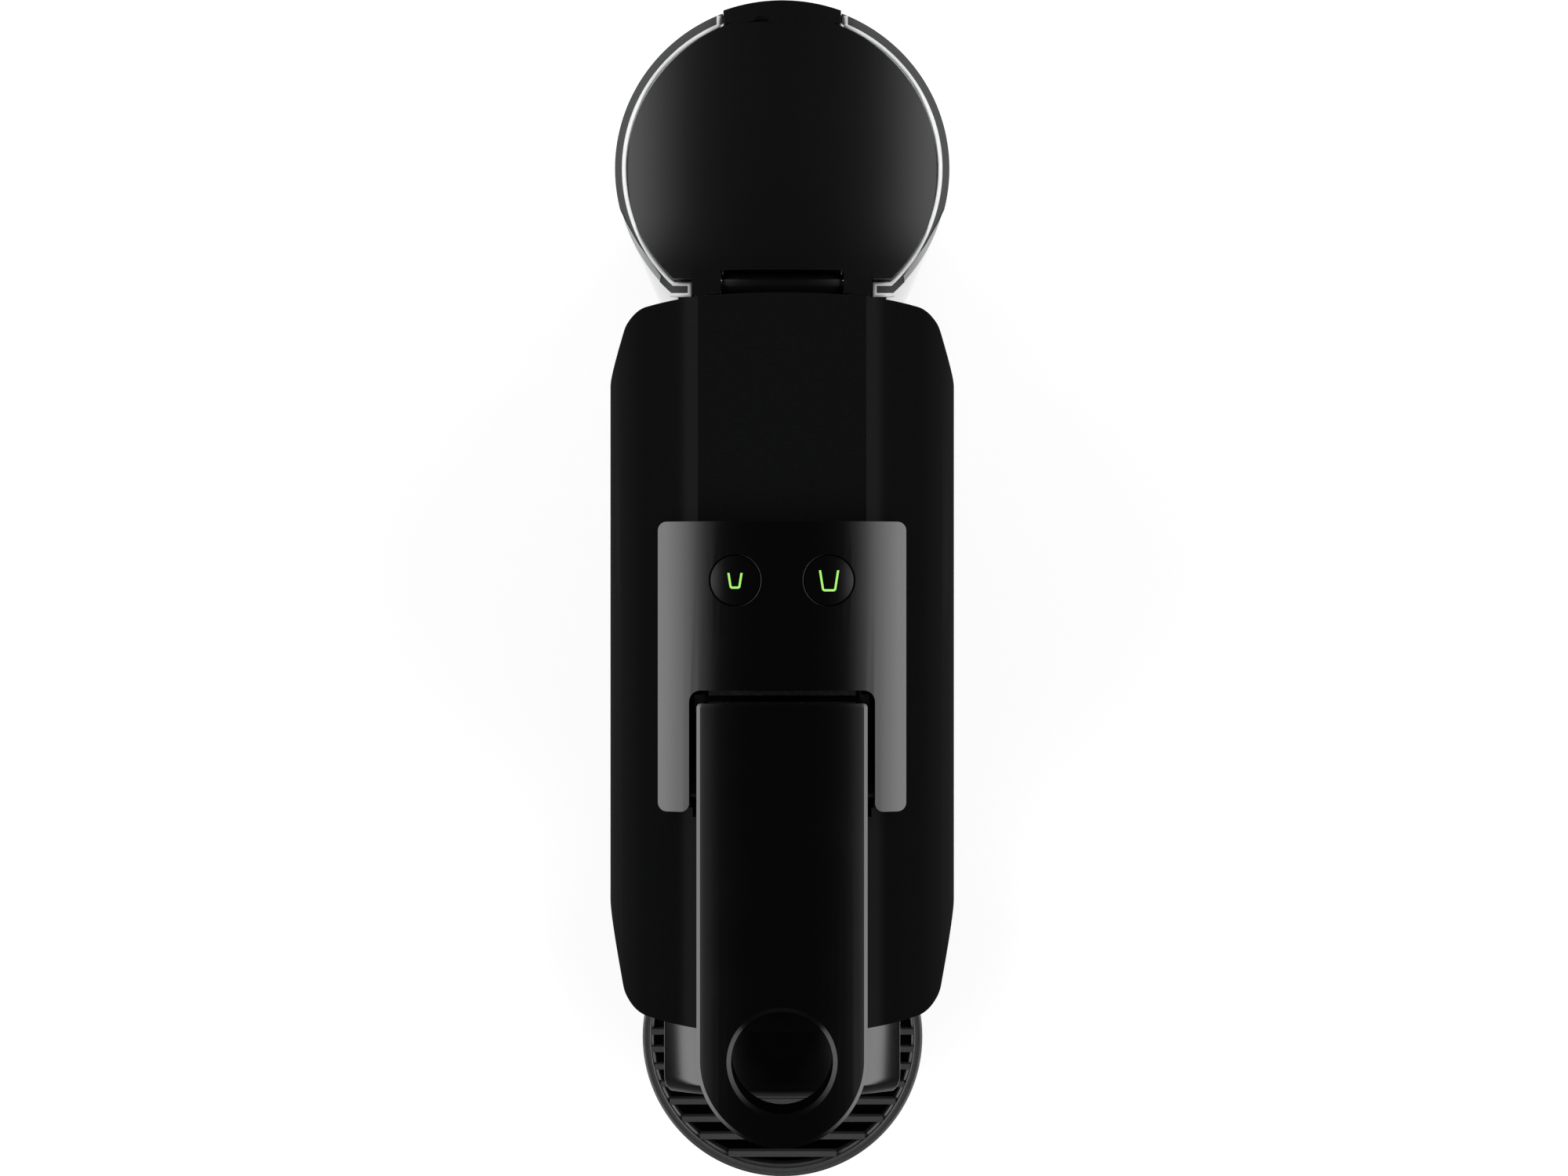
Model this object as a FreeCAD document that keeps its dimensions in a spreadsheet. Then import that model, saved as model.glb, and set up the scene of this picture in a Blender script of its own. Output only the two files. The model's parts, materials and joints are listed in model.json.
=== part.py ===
import FreeCAD, Part
import math
import os
import re

import Sketcher
from FreeCAD import Placement, Rotation, Vector

# Driving sizes in millimetres
sizes = {
    # Casing
    "body_width": 85,
    "body_front": 87,
    "body_rear": 85,
    "body_top": 192,
    "flat_width": 39.2,
    "shoulder_height": 160,
    "wall": 2.5,
    "front_taper": 24.5,
    "rear_taper": 17.6,
    "front_inset": 4.9,
    "rear_inset": 5.5,
    "corner_round": 6,
    "end_bulge": 3,
    # Base, feet and screws
    "foot_height": 2.5,
    "foot_radius": 6,
    "foot_stud_radius": 2,
    "foot_stud": 2,
    "foot_spread": 46,
    "foot_reach": 10,
    "base_thickness": 3,
    "tongue_inset": 6.5,
    "link_half": 16,
    "boss_radius": 4,
    "boss_height": 18,
    "boss_inset": 3.5,
    "boss_front": 45,
    "boss_rear": 30,
    "screw_radius": 1.5,
    "screw_length": 13,
    "screw_head_radius": 3,
    "screw_head": 1.4,
    # Clearances
    "pin_play": 0.05,
    "slide_play": 0.4,
    "swing_play": 0.5,
    "seat_play": 0.2,
    # Chassis
    "pivot_setback": 56.5,
    "pivot_rise": 0.5,
    "bulkhead_gap": 17.5,
    "bulkhead_thickness": 3,
    "bulkhead_height": 10,
    "frame_half": 21.3,
    "frame_thickness": 3,
    "frame_rise": 37,
    "frame_drop": 33,
    "ear_radius": 3,
    "ear_length": 7.6,
    "ledge_height": 2.4,
    "ledge_width": 2.6,
    # Lever
    "lever_width": 38.56,
    "lever_length": 100.75,
    "lever_tail": 20.45,
    "lever_lift": 2.5,
    "lever_thickness": 9.5,
    "lever_skin": 3,
    "lever_wall": 2.6,
    "lever_edge": 0.9,
    "finger_radius": 11.6,
    "finger_rim": 19,
    "cheek_outer": 18.6,
    "cheek_thickness": 2.2,
    "cheek_length": 15,
    "axle_radius": 2,
    "crank_rear": 14.1,
    "crank_drop": 16.9,
    "crank_eye": 5,
    "crank_pin_radius": 2.5,
    # Capsule holder and brew chamber
    "brew_drop": 47,
    "injector_radius": 19,
    "injector_length": 13.75,
    "injector_recess": 2.5,
    "injector_rim": 3,
    "needle_radius": 0.9,
    "needle_length": 6,
    "needle_circle": 6,
    "seal_height": 1.3,
    "seal_width": 1.6,
    "chamber_length": 29.25,
    "holder_thickness": 8,
    "holder_half": 18.7,
    "holder_rise": 21,
    "holder_drop": 19,
    "rail_outer": 20.7,
    "rail_thickness": 1.8,
    "rail_drop": 34,
    "rail_height": 6,
    "yoke_length": 15,
    "yoke_height": 26,
    "yoke_slot_play": 0.8,
    "yoke_slot_base": 8,
    "yoke_slot_height": 14,
    "pyramid_radius": 15.8,
    "pyramid_thickness": 1.5,
    "pyramid_hole": 0.8,
    "pyramid_pitch": 4.4,
    "drain_radius": 2.5,
    "feed_radius": 1.9,
    # Control panel and buttons
    "notch_gap": 2.85,
    "notch_width": 42.6,
    "panel_width": 57.2,
    "panel_length": 38.7,
    "panel_arm": 27.9,
    "panel_rise": 10,
    "panel_curve": 80,
    "panel_wall": 2.2,
    "panel_corner": 1.8,
    "button_spacing": 21.46,
    "button_setback": 25.2,
    "button_radius": 5.6,
    "button_play": 0.3,
    "button_flange": 0.9,
    "button_flange_drop": 4.3,
    "button_flange_height": 1.5,
    "stem_radius": 2,
    "stem_play": 0.4,
    "button_travel": 1.2,
    "symbol_depth": 0.8,
    "symbol_stroke": 0.75,
    "small_symbol_width": 3.7,
    "small_symbol_height": 4,
    "large_symbol_width": 4.9,
    "large_symbol_height": 5.2,
    "symbol_taper": 0.8,
    # Control board
    "board_drop": 9.9,
    "board_thickness": 1.6,
    "board_width": 50,
    "board_length": 40,
    "board_setback": 9,
    "post_radius": 3,
    "post_inset": 4,
    "board_screw_radius": 1.2,
    "board_screw_length": 8,
    "board_screw_head": 2.4,
    "board_screw_cap": 1.5,
    "switch_side": 6,
    "switch_height": 3.5,
    "plunger_radius": 1.7,
    "plunger_height": 0.8,
    "light_radius": 1.5,
    "light_height": 4.5,
    "light_offset": 8,
    # Front cover, funnel and spout
    "snout_reach": 18.5,
    "snout_width": 58,
    "snout_drop": 27,
    "snout_rise": 27,
    "snout_curve": 80,
    "snout_round": 5,
    "snout_wall": 2.2,
    "snout_port": 43,
    "port_rise": 23,
    "port_drop": 26,
    "funnel_half": 17,
    "funnel_height": 5,
    "funnel_wall": 1.5,
    "funnel_lip": 1.6,
    "funnel_fall": 1.8,
    "funnel_front_gap": 0.8,
    "spout_setback": 8.5,
    "spout_radius": 4.8,
    "spout_bore": 3.2,
    "spout_length": 6,
    "spout_flange": 6.6,
    "spout_flange_height": 1.4,
    # Drip tray, grid and capsule bin
    "tray_tuck": 9.5,
    "tray_wall": 2.2,
    "tray_floor": 2.5,
    "tray_height": 38.1,
    "sled_half": 25,
    "sled_thickness": 2,
    "rail_guide": 2,
    "rail_guide_height": 4,
    "grid_thickness": 2,
    "grid_rim": 3,
    "grid_skirt": 1.2,
    "grid_skirt_height": 4,
    "bar_width": 1.8,
    "bar_height": 3,
    "bar_pitch": 5.3,
    "bar_offset": 1.4,
    "bar_count": 15,
    "bin_gap": 3,
    "bin_setback": 13,
    "bin_half": 24.5,
    "bin_wall": 1.8,
    "bin_drop": 39,
    "face_half": 29.3,
    "face_drop": 35,
    "face_gap": 0.8,
    "face_depth": 1.8,
    "scoop_gap": 1,
    # Tank, lid and dock
    "tank_gap": 4,
    "tank_inset": 1,
    "tank_flat": 9.5,
    "tank_wall": 2.3,
    "tank_floor": 3,
    "tank_height": 136.5,
    "dock_height": 14.3,
    "dock_wall": 2.5,
    "hinge_inset": 3,
    "knuckle_radius": 2.8,
    "knuckle_half": 15,
    "knuckle_gap": 0.3,
    "hinge_half": 22.3,
    "hinge_notch": 8,
    "hinge_pin_radius": 1.2,
    "lid_rise": 5,
    "lid_curve": 130,
    "lid_thickness": 2.4,
    "lid_gap": 0.3,
    "lid_setback": 1,
    "lid_skirt": 5.5,
    "lid_skirt_wall": 2,
    "tab_half": 14.6,
    "tab_drop": 3.5,
    "valve_setback": 19,
    "valve_radius": 6,
    "valve_bore": 4.2,
    "valve_flange": 8,
    "valve_flange_height": 2,
    "valve_drop": 6,
    "seal_ring": 1.5,
    "seal_ring_height": 2,
    "seal_ring_drop": 3.2,
    "poppet_radius": 5.6,
    "poppet_height": 2,
    "poppet_stem": 1.5,
    "poppet_length": 10.2,
    "collar_radius": 3.7,
    "collar_height": 1.2,
    "valve_web": 2,
    "spring_radius": 3.1,
    "spring_wire": 0.35,
    "spring_turns": 3,
    "socket_wall": 2,
    "nipple_radius": 3,
    "nipple_bore": 1.8,
    "nipple_gap": 3.4,
    "gland_radius": 5.5,
    "gland_bore": 3.6,
    "gland_length": 6,
    "gland_rise": 7,
    # Water path and heater
    "pump_setback": 32,
    "pump_radius": 9,
    "pump_base": 22,
    "pump_length": 74,
    "coil_half": 18,
    "coil_base": 17,
    "coil_height": 40,
    "bracket_half": 15,
    "bracket_thickness": 2,
    "bracket_base": 8,
    "bracket_height": 24,
    "mount_radius": 6,
    "mount_spread": 14,
    "stub_radius": 3,
    "stub_bore": 1.6,
    "stub_length": 6,
    "meter_radius": 13,
    "meter_height": 15.5,
    "meter_setback": 23,
    "meter_axis": 7.5,
    "hose_wall": 1.5,
    "hose_bend": 9,
    "heater_half": 18,
    "heater_length": 38,
    "heater_rise": 23,
    "heater_drop": 27,
    "heater_slot": 3,
    "heater_slot_depth": 4,
    "heater_slot_pitch": 9,
    "heater_slots": 5,
    "fuse_radius": 4,
    "fuse_length": 22,
    "blade_half": 3.2,
    "blade_thickness": 0.8,
    "blade_length": 9,
    "blade_spread": 12,
    "block_width": 12,
    "block_length": 24,
    "block_height": 14,
    "block_gap": 8,
}

doc = FreeCAD.newDocument("pod_coffee_machine")
sheet = doc.addObject("Spreadsheet::Sheet", "dims")
for row, (alias, size) in enumerate(sizes.items(), start=1):
    sheet.set(f"A{row}", alias)
    sheet.set(f"B{row}", str(size))
    sheet.setAlias(f"B{row}", alias)
doc.recompute()

aliasPattern = re.compile(r"\b(" + "|".join(sorted(sizes, key=len, reverse=True)) + r")\b")
straightUp = Vector(0, 0, 1)
turnTo = {
    "X": Rotation(Vector(0, 1, 0), 90),
    "Y": Rotation(Vector(1, 0, 0), -90),
    "Z": Rotation(),
}
subParts = []


def bound(text):
    return aliasPattern.sub(r"dims.\1", text)


def num(text):
    return float(sheet.evalExpression(bound(text)))


def bind(thing, path, text):
    thing.setExpression(path, bound(text))


def put(thing, x="0", y="0", z="0"):
    for path, text in zip("xyz", (x, y, z)):
        bind(thing, f"Placement.Base.{path}", text)


def box(name, xs, ys, zs):
    solid = doc.addObject("Part::Box", name)
    for path, (low, high) in zip(("Length", "Width", "Height"), (xs, ys, zs)):
        bind(solid, path, f"({high}) - ({low})")
    put(solid, xs[0], ys[0], zs[0])
    return solid


def both(half):
    return (f"-({half})", half)


def rod(name, axis, radius, ends, centre=("0", "0")):
    solid = doc.addObject("Part::Cylinder", name)
    bind(solid, "Radius", radius)
    bind(solid, "Height", f"({ends[1]}) - ({ends[0]})")
    solid.Placement = Placement(Vector(), turnTo[axis])
    spot = list(centre)
    spot.insert("XYZ".index(axis), ends[0])
    put(solid, *spot)
    return solid


def fuse(name, *solids):
    result = doc.addObject("Part::MultiFuse", name)
    result.Shapes = list(solids)
    return result


def common(name, *solids):
    result = doc.addObject("Part::MultiCommon", name)
    result.Shapes = list(solids)
    return result


def cut(name, base, *tools):
    result = doc.addObject("Part::Cut", name)
    result.Base = base
    result.Tool = tools[0] if len(tools) == 1 else fuse(f"{name}_tools", *tools)
    return result


def group(name, *solids):
    result = doc.addObject("Part::Compound", name)
    result.Links = list(solids)
    return result


def subPart(label, thing):
    thing.Label = label
    subParts.append(thing)
    return thing


def arcBetween(start, end, radius):
    # A positive radius bulges to the left of the way from start to end
    chord = end - start
    half = chord.Length / 2
    reach = math.sqrt(max(radius * radius - half * half, 0))
    left = Vector(-chord.y, chord.x, 0).normalize()
    side = 1 if radius > 0 else -1
    centre = (start + end) / 2 - left * reach * side
    first, last = (end, start) if side > 0 else (start, end)
    angles = [math.atan2(point.y - centre.y, point.x - centre.x) for point in (first, last)]
    if angles[1] < angles[0]:
        angles[1] += 2 * math.pi
    circle = Part.Circle(centre, straightUp, abs(radius))
    return Part.ArcOfCircle(circle, *angles), side > 0


def pinPoint(sketch, edge, place, point):
    for kind, text in zip(("DistanceX", "DistanceY"), point):
        index = sketch.addConstraint(Sketcher.Constraint(kind, edge, place, num(text)))
        sketch.setExpression(f"Constraints[{index}]", bound(text))


def drawOutline(sketch, points):
    # Each point is (x, y), or (x, y, radius) where the edge to the next point is an arc
    spots = [Vector(num(point[0]), num(point[1]), 0) for point in points]
    edges = []
    for index, point in enumerate(points):
        start, end = spots[index], spots[(index + 1) % len(points)]
        if len(point) == 2:
            edge = sketch.addGeometry(Part.LineSegment(start, end), False)
            edges.append((edge, 1, 2))
            continue
        curve, swapped = arcBetween(start, end, num(point[2]))
        edge = sketch.addGeometry(curve, False)
        edges.append((edge, 2, 1) if swapped else (edge, 1, 2))
        limit = sketch.addConstraint(Sketcher.Constraint("Radius", edge, abs(num(point[2]))))
        sketch.setExpression(f"Constraints[{limit}]", bound(f"abs({point[2]})"))
    for index, (edge, start, end) in enumerate(edges):
        following = edges[(index + 1) % len(edges)]
        sketch.addConstraint(Sketcher.Constraint("Coincident", edge, end, following[0], following[1]))
        pinPoint(sketch, edge, start, points[index])


def drawCircle(sketch, centre, radius):
    spot = Vector(num(centre[0]), num(centre[1]), 0)
    edge = sketch.addGeometry(Part.Circle(spot, straightUp, num(radius)), False)
    limit = sketch.addConstraint(Sketcher.Constraint("Radius", edge, num(radius)))
    sketch.setExpression(f"Constraints[{limit}]", bound(radius))
    pinPoint(sketch, edge, 3, centre)


def extrude(name, plane, points, ends):
    sketch = doc.addObject("Sketcher::SketchObject", f"{name}_outline")
    axis = {"XY": "Z", "XZ": "Y", "YZ": "X"}[plane]
    sketch.Placement = Placement(Vector(), {
        "XY": Rotation(),
        "XZ": Rotation(Vector(1, 0, 0), 90),
        "YZ": Rotation(Vector(1, 1, 1), 120),
    }[plane])
    bind(sketch, f"Placement.Base.{axis.lower()}", ends[0])
    drawOutline(sketch, points)
    solid = doc.addObject("Part::Extrusion", name)
    solid.Base = sketch
    solid.DirMode = "Custom"
    solid.Dir = {"Z": Vector(0, 0, 1), "Y": Vector(0, 1, 0), "X": Vector(1, 0, 0)}[axis]
    solid.Solid = True
    bind(solid, "LengthFwd", f"({ends[1]}) - ({ends[0]})")
    return solid


def newBody(name):
    return doc.addObject("PartDesign::Body", name)


def sketchIn(body, name, plane, level="0"):
    sketch = body.newObject("Sketcher::SketchObject", f"{body.Name}_{name}")
    support = [item for item in body.Origin.OriginFeatures if item.Role == f"{plane}_Plane"][0]
    sketch.AttachmentSupport = (support, [""])
    sketch.MapMode = "FlatFace"
    bind(sketch, "AttachmentOffset.Base.z", level)
    return sketch


def pad(body, sketch, length):
    feature = body.newObject("PartDesign::Pad", f"{sketch.Name}_pad")
    feature.Profile = sketch
    bind(feature, "Length", length)
    doc.recompute()
    return feature


def pocket(body, sketch, length):
    # Cuts along the sketch's own normal
    feature = body.newObject("PartDesign::Pocket", f"{sketch.Name}_pocket")
    feature.Profile = sketch
    feature.Reversed = True
    bind(feature, "Length", length)
    doc.recompute()
    return feature


def revolve(body, sketch):
    feature = body.newObject("PartDesign::Revolution", f"{sketch.Name}_turned")
    feature.Profile = sketch
    feature.ReferenceAxis = (sketch, ["V_Axis"])
    feature.Angle = 360
    doc.recompute()
    return feature


def fillet(body, base, name, radius, picks):
    names = [f"Edge{index}" for index, edge in enumerate(base.Shape.Edges, start=1) if picks(edge)]
    feature = body.newObject("PartDesign::Fillet", f"{body.Name}_{name}")
    feature.Base = (base, names)
    bind(feature, "Radius", radius)
    doc.recompute()
    return feature


def upright(edge):
    return abs(edge.tangentAt(edge.FirstParameter).z) > 0.99


def lathe(label, profile, x="0", y="0", z="0"):
    body = newBody(label)
    sketch = sketchIn(body, "profile", "XZ")
    drawOutline(sketch, profile)
    revolve(body, sketch)
    put(body, x, y, z)
    return body


# Places that several sub-parts share
baseBottom = "foot_height"
baseTop = "(foot_height + base_thickness)"
pivotY = "(-body_front + pivot_setback)"
pivotZ = "(body_top + pivot_rise)"
bulkFront = f"({pivotY} + bulkhead_gap)"
bulkRear = f"({bulkFront} + bulkhead_thickness)"
leverRear = f"({pivotY} + lever_tail)"
leverBottom = "(body_top + lever_lift)"
leverTop = f"({leverBottom} + lever_thickness)"
notchY = f"({leverRear} + notch_gap)"
panelTop = "(body_top + panel_rise)"
panelFront = f"({notchY} - panel_arm)"
panelRear = f"({notchY} + panel_length)"
buttonY = f"({notchY} + button_setback)"
brewZ = "(body_top - brew_drop)"
injectorFace = f"({bulkFront} - injector_length)"
holderFace = f"({injectorFace} - chamber_length)"
holderFront = f"({holderFace} - holder_thickness)"
pinY = f"({pivotY} + crank_rear)"
pinZ = f"({pivotZ} - crank_drop)"
railBottom = "(body_top - rail_drop)"
snoutFront = "(-body_front - snout_reach)"
snoutBottom = f"({brewZ} - snout_drop)"
snoutTop = f"({brewZ} + snout_rise)"
snoutFloor = f"({snoutBottom} + snout_wall)"
spoutY = f"({snoutFront} + spout_setback)"
trayRadius = "(body_width/2)"
trayY = f"(-body_front + tray_tuck - {trayRadius})"
trayBottom = f"({baseTop} + slide_play)"
trayTop = f"({trayBottom} + tray_height)"
gridTop = f"({trayTop} + grid_thickness)"
sledTop = f"({trayBottom} + sled_thickness)"
binRear = f"({bulkFront} - bin_gap)"
binFront = "(-body_front + bin_setback)"
binTop = f"({brewZ} - bin_drop)"
faceTop = f"({brewZ} - face_drop)"
tankFront = "(body_rear + tank_gap)"
tankRadius = "(body_width/2 - tank_inset)"
tankY = f"({tankFront} + {tankRadius} - tank_flat)"
dockTop = f"({baseTop} + dock_height)"
tankBottom = f"({dockTop} + seat_play)"
tankRim = f"({tankBottom} + tank_height)"
tankInner = f"({tankRadius} - tank_wall)"
hingeY = f"({tankFront} + hinge_inset)"
lidTop = f"({tankRim} + lid_rise)"
valveY = f"({tankFront} + valve_setback)"
valveTop = f"({tankBottom} + tank_floor)"
valveBottom = f"({tankBottom} - valve_drop)"
pumpY = f"({bulkRear} + pump_setback)"
pumpTop = f"({baseTop} + pump_base + pump_length)"
coilBottom = f"({baseTop} + pump_base + coil_base)"
meterY = "(body_rear - meter_setback)"
meterZ = f"({baseTop} + meter_axis)"
heaterBottom = f"({brewZ} - heater_drop)"
heaterTop = f"({brewZ} + heater_rise)"
heaterRear = f"({bulkRear} + heater_length)"
boardTop = "(body_top - wall - board_drop)"
boardBottom = f"({boardTop} - board_thickness)"
boardFront = f"({notchY} + board_setback)"
boardRear = f"({boardFront} + board_length)"
beyond = "1"

archDepth = "(body_width - flat_width)/2"
archHeight = "(body_top - shoulder_height)"
archRadius = f"((({archDepth})^2 + {archHeight}^2) / (2*({archDepth})))"


def planOutline(inset):
    # Tapered plan of the casing with bowed front and rear edges
    side = f"(body_width/2 - {inset})"
    front = f"(body_width/2 - front_inset - {inset})"
    rear = f"(body_width/2 - rear_inset - {inset})"
    frontY = f"(-body_front + end_bulge + {inset})"
    rearY = f"(body_rear - end_bulge - {inset})"
    frontArc = f"-(({front}^2 + end_bulge^2) / (2*end_bulge))"
    rearArc = f"-(({rear}^2 + end_bulge^2) / (2*end_bulge))"
    return [
        (f"-{side}", "-body_front + front_taper"),
        (f"-{front}", frontY, frontArc),
        (front, frontY),
        (side, "-body_front + front_taper"),
        (side, "body_rear - rear_taper"),
        (rear, rearY, rearArc),
        (f"-{rear}", rearY),
        (f"-{side}", "body_rear - rear_taper"),
    ]


def planSolid(name, inset, round_, ends):
    body = newBody(name)
    sketch = sketchIn(body, "plan", "XY", ends[0])
    drawOutline(sketch, planOutline(inset))
    base = pad(body, sketch, f"({ends[1]}) - ({ends[0]})")
    limit = num("body_width/2") - num("wall") - num("pin_play")
    fillet(body, base, "corners", round_, lambda edge: upright(edge) and abs(edge.CenterOfMass.x) < limit)
    return body


def archSolid(name, inset, ends):
    side = f"(body_width/2 - {inset})"
    top = f"(body_top - {inset})"
    radius = f"({archRadius} - {inset})"
    flat = f"(body_width/2 - {archRadius} + sqrt({radius}^2 - ({top} - shoulder_height)^2))"
    return extrude(name, "XZ", [
        (f"-{side}", "0"),
        (side, "0"),
        (side, "shoulder_height", f"-{radius}"),
        (flat, top),
        (f"-{flat}", top, f"-{radius}"),
        (f"-{side}", "shoulder_height"),
    ], ends)


def archedBar(name, half, top, radius, bottom, ends):
    # Bar along the object's length with an arched top
    edge = f"({top} - {radius} + sqrt(({radius})^2 - ({half})^2))"
    return extrude(name, "XZ", [
        (f"-({half})", bottom),
        (half, bottom),
        (half, edge, f"-({radius})"),
        (f"-({half})", edge),
    ], ends)


# Casing
caseEnds = (f"-body_front - {beyond}", f"body_rear + {beyond}")
caseOuter = common(
    "case_outer",
    planSolid("case_plan", "0", "corner_round", (baseTop, f"body_top + {beyond}")),
    archSolid("case_arch", "0", caseEnds),
)
caseInner = common(
    "case_inner",
    planSolid("case_plan_inner", "wall", "corner_round - wall", (f"{baseTop} - {beyond}", "body_top")),
    archSolid("case_arch_inner", "wall", caseEnds),
)
bossSpots = [
    (side, y)
    for side in ("-1", "1")
    for y in ("(-body_front + boss_front)", "(body_rear - boss_rear)")
]
bossX = "(body_width/2 - wall - boss_inset)"
postSpots = [
    (f"{side}*(board_width/2 - post_inset)", y)
    for side in ("-1", "1")
    for y in (f"({boardFront} + post_inset)", f"({boardRear} - post_inset)")
]
buttonSpots = {"small": "-button_spacing/2", "large": "button_spacing/2"}
caseBosses = [
    rod(f"case_boss_{index}", "Z", "boss_radius", (baseTop, f"{baseTop} + boss_height"),
        (f"{side}*{bossX}", y))
    for index, (side, y) in enumerate(bossSpots)
]
casePosts = [
    rod(f"case_post_{index}", "Z", "post_radius", (boardTop, "body_top - wall/2"), (x, y))
    for index, (x, y) in enumerate(postSpots)
]
slotHalf = "(frame_half - swing_play)"
caseTop = (f"body_top - wall - {beyond}", f"body_top + {beyond}")
wallReach = (f"-body_front - {beyond}", f"{binFront} + {beyond}")
caseCuts = [
    box("lever_slot", both(slotHalf), (f"{snoutFront} + snout_reach + 2*wall",
        f"{notchY} + notch_gap/2"), caseTop),
    box(
        "ear_slot",
        both("frame_half + frame_thickness + swing_play"),
        (f"{pivotY} - ear_length/2 - swing_play", f"{pivotY} + ear_length/2 + swing_play"),
        ("body_top - 4*wall", f"body_top + {beyond}"),
    ),
    box("drawer_port", both("face_half + swing_play"), wallReach, ("0", f"{faceTop} + face_gap")),
    box("holder_port", both("snout_port/2"), wallReach, (f"{brewZ} - port_drop", f"{brewZ} + port_rise")),
    rod(
        "hose_port", "Y", "nipple_radius + hose_wall + swing_play",
        ("body_rear - 2*wall - end_bulge", f"body_rear + {beyond}"), ("0", meterZ),
    ),
]
for label, x in buttonSpots.items():
    caseCuts.append(rod(f"{label}_stem_port", "Z", "stem_radius + stem_play", caseTop, (x, buttonY)))
for index, (side, y) in enumerate(bossSpots):
    pilot = (f"{baseTop} - {beyond}", f"{baseTop} + screw_length")
    caseCuts.append(rod(f"boss_pilot_{index}", "Z", "screw_radius + pin_play", pilot,
        (f"{side}*{bossX}", y)))
for index, (x, y) in enumerate(postSpots):
    pilot = (f"{boardTop} - {beyond}", f"{boardTop} + board_screw_length")
    caseCuts.append(rod(f"post_pilot_{index}", "Z", "board_screw_radius + pin_play", pilot, (x, y)))
caseHollow = cut("case_hollow", caseOuter, caseInner)
caseBossed = fuse("case_bossed", caseHollow, *[
    common(f"case_boss_fit_{index}", boss, caseOuter) for index, boss in enumerate(caseBosses + casePosts)
])
subPart("outer_shell", cut("outer_shell", caseBossed, *caseCuts))

# Base plate, feet and base screws
footSpots = [
    (f"{side}*foot_spread/2", y)
    for side in ("-1", "1")
    for y in (f"({trayY} - foot_reach)", f"({tankY} + foot_reach)")
]
railY = ("-body_front + corner_round", binRear)
railZ = (baseTop, f"{baseTop} + rail_guide_height")
baseSolid = fuse(
    "base_solid",
    planSolid("base_plan", "0", "corner_round", (baseBottom, baseTop)),
    rod("base_dock", "Z", tankRadius, (baseBottom, baseTop), ("0", tankY)),
    rod("base_tongue", "Z", "body_width/2 - tongue_inset", (baseBottom, baseTop), ("0", trayY)),
    box("base_rear_link", both("link_half"), ("body_rear - corner_round", tankY), (baseBottom, baseTop)),
    box(
        "base_guide_left", ("-sled_half - slide_play - rail_guide",
            "-sled_half - slide_play"), railY, railZ,
    ),
    box(
        "base_guide_right", ("sled_half + slide_play", "sled_half + slide_play + rail_guide"), railY, railZ,
    ),
)
baseCuts = []
for index, (x, y) in enumerate(footSpots):
    baseCuts.append(rod(
        f"stud_port_{index}", "Z", "foot_stud_radius + pin_play",
        (f"{baseBottom} - {beyond}", f"{baseBottom} + foot_stud + pin_play"), (x, y),
    ))
for index, (side, y) in enumerate(bossSpots):
    x = f"{side}*{bossX}"
    baseCuts.append(rod(
        f"screw_port_{index}", "Z", "screw_radius + pin_play",
        (f"{baseBottom} - {beyond}", f"{baseTop} + {beyond}"), (x, y),
    ))
    baseCuts.append(rod(
        f"screw_sink_{index}", "Z", "screw_head_radius + seat_play",
        (f"{baseBottom} - {beyond}", f"{baseBottom} + screw_head + pin_play"), (x, y),
    ))
subPart("base_plate", cut("base_plate", baseSolid, *baseCuts))

subPart("rubber_feet", group("rubber_feet", *[
    fuse(
        f"foot_{index}",
        rod(f"foot_pad_{index}", "Z", "foot_radius", ("0", "foot_height"), (x, y)),
        rod(f"foot_stud_{index}", "Z", "foot_stud_radius", ("0", "foot_height + foot_stud"), (x, y)),
    )
    for index, (x, y) in enumerate(footSpots)
]))

headTop = f"({baseBottom} + screw_head)"
subPart("base_screws", group("base_screws", *[
    fuse(
        f"base_screw_{index}",
        rod(f"base_head_{index}", "Z", "screw_head_radius", (baseBottom, headTop), (f"{side}*{bossX}", y)),
        rod(
            f"base_shank_{index}", "Z", "screw_radius",
            (baseBottom, f"{baseTop} + screw_length - seat_play"), (f"{side}*{bossX}", y),
        ),
    )
    for index, (side, y) in enumerate(bossSpots)
]))

# Chassis: bulkhead, side plates, ears for the lever's axle and ledges for the holder's rails
chassisParts = [
    box(
        "bulkhead", both("body_width/2 - wall - swing_play"), (bulkFront, bulkRear),
        (baseTop, f"{brewZ} + bulkhead_height"),
    ),
]
for side, name in (("-1", "left"), ("1", "right")):
    plate = ("frame_half", "frame_half + frame_thickness")
    ledge = ("frame_half - ledge_width", "frame_half + pin_play")
    if side == "-1":
        plate = (f"-({plate[1]})", f"-({plate[0]})")
        ledge = (f"-({ledge[1]})", f"-({ledge[0]})")
    chassisParts += [
        box(f"frame_{name}", plate, (holderFront, f"{bulkFront} + {beyond}"),
            (f"{brewZ} - frame_drop", f"{brewZ} + frame_rise")),
        box(f"ear_{name}", plate, (f"{pivotY} - ear_length/2", f"{pivotY} + ear_length/2"),
            (f"{brewZ} + frame_rise - {beyond}", pivotZ)),
        rod(f"ear_eye_{name}", "X", "ear_radius", plate, (pivotY, pivotZ)),
        box(f"ledge_{name}", ledge, (f"{holderFace} + swing_play", f"{bulkFront} + {beyond}"),
            (f"{railBottom} - slide_play - ledge_height", f"{railBottom} - slide_play")),
    ]
frameReach = "frame_half + frame_thickness"
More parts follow.
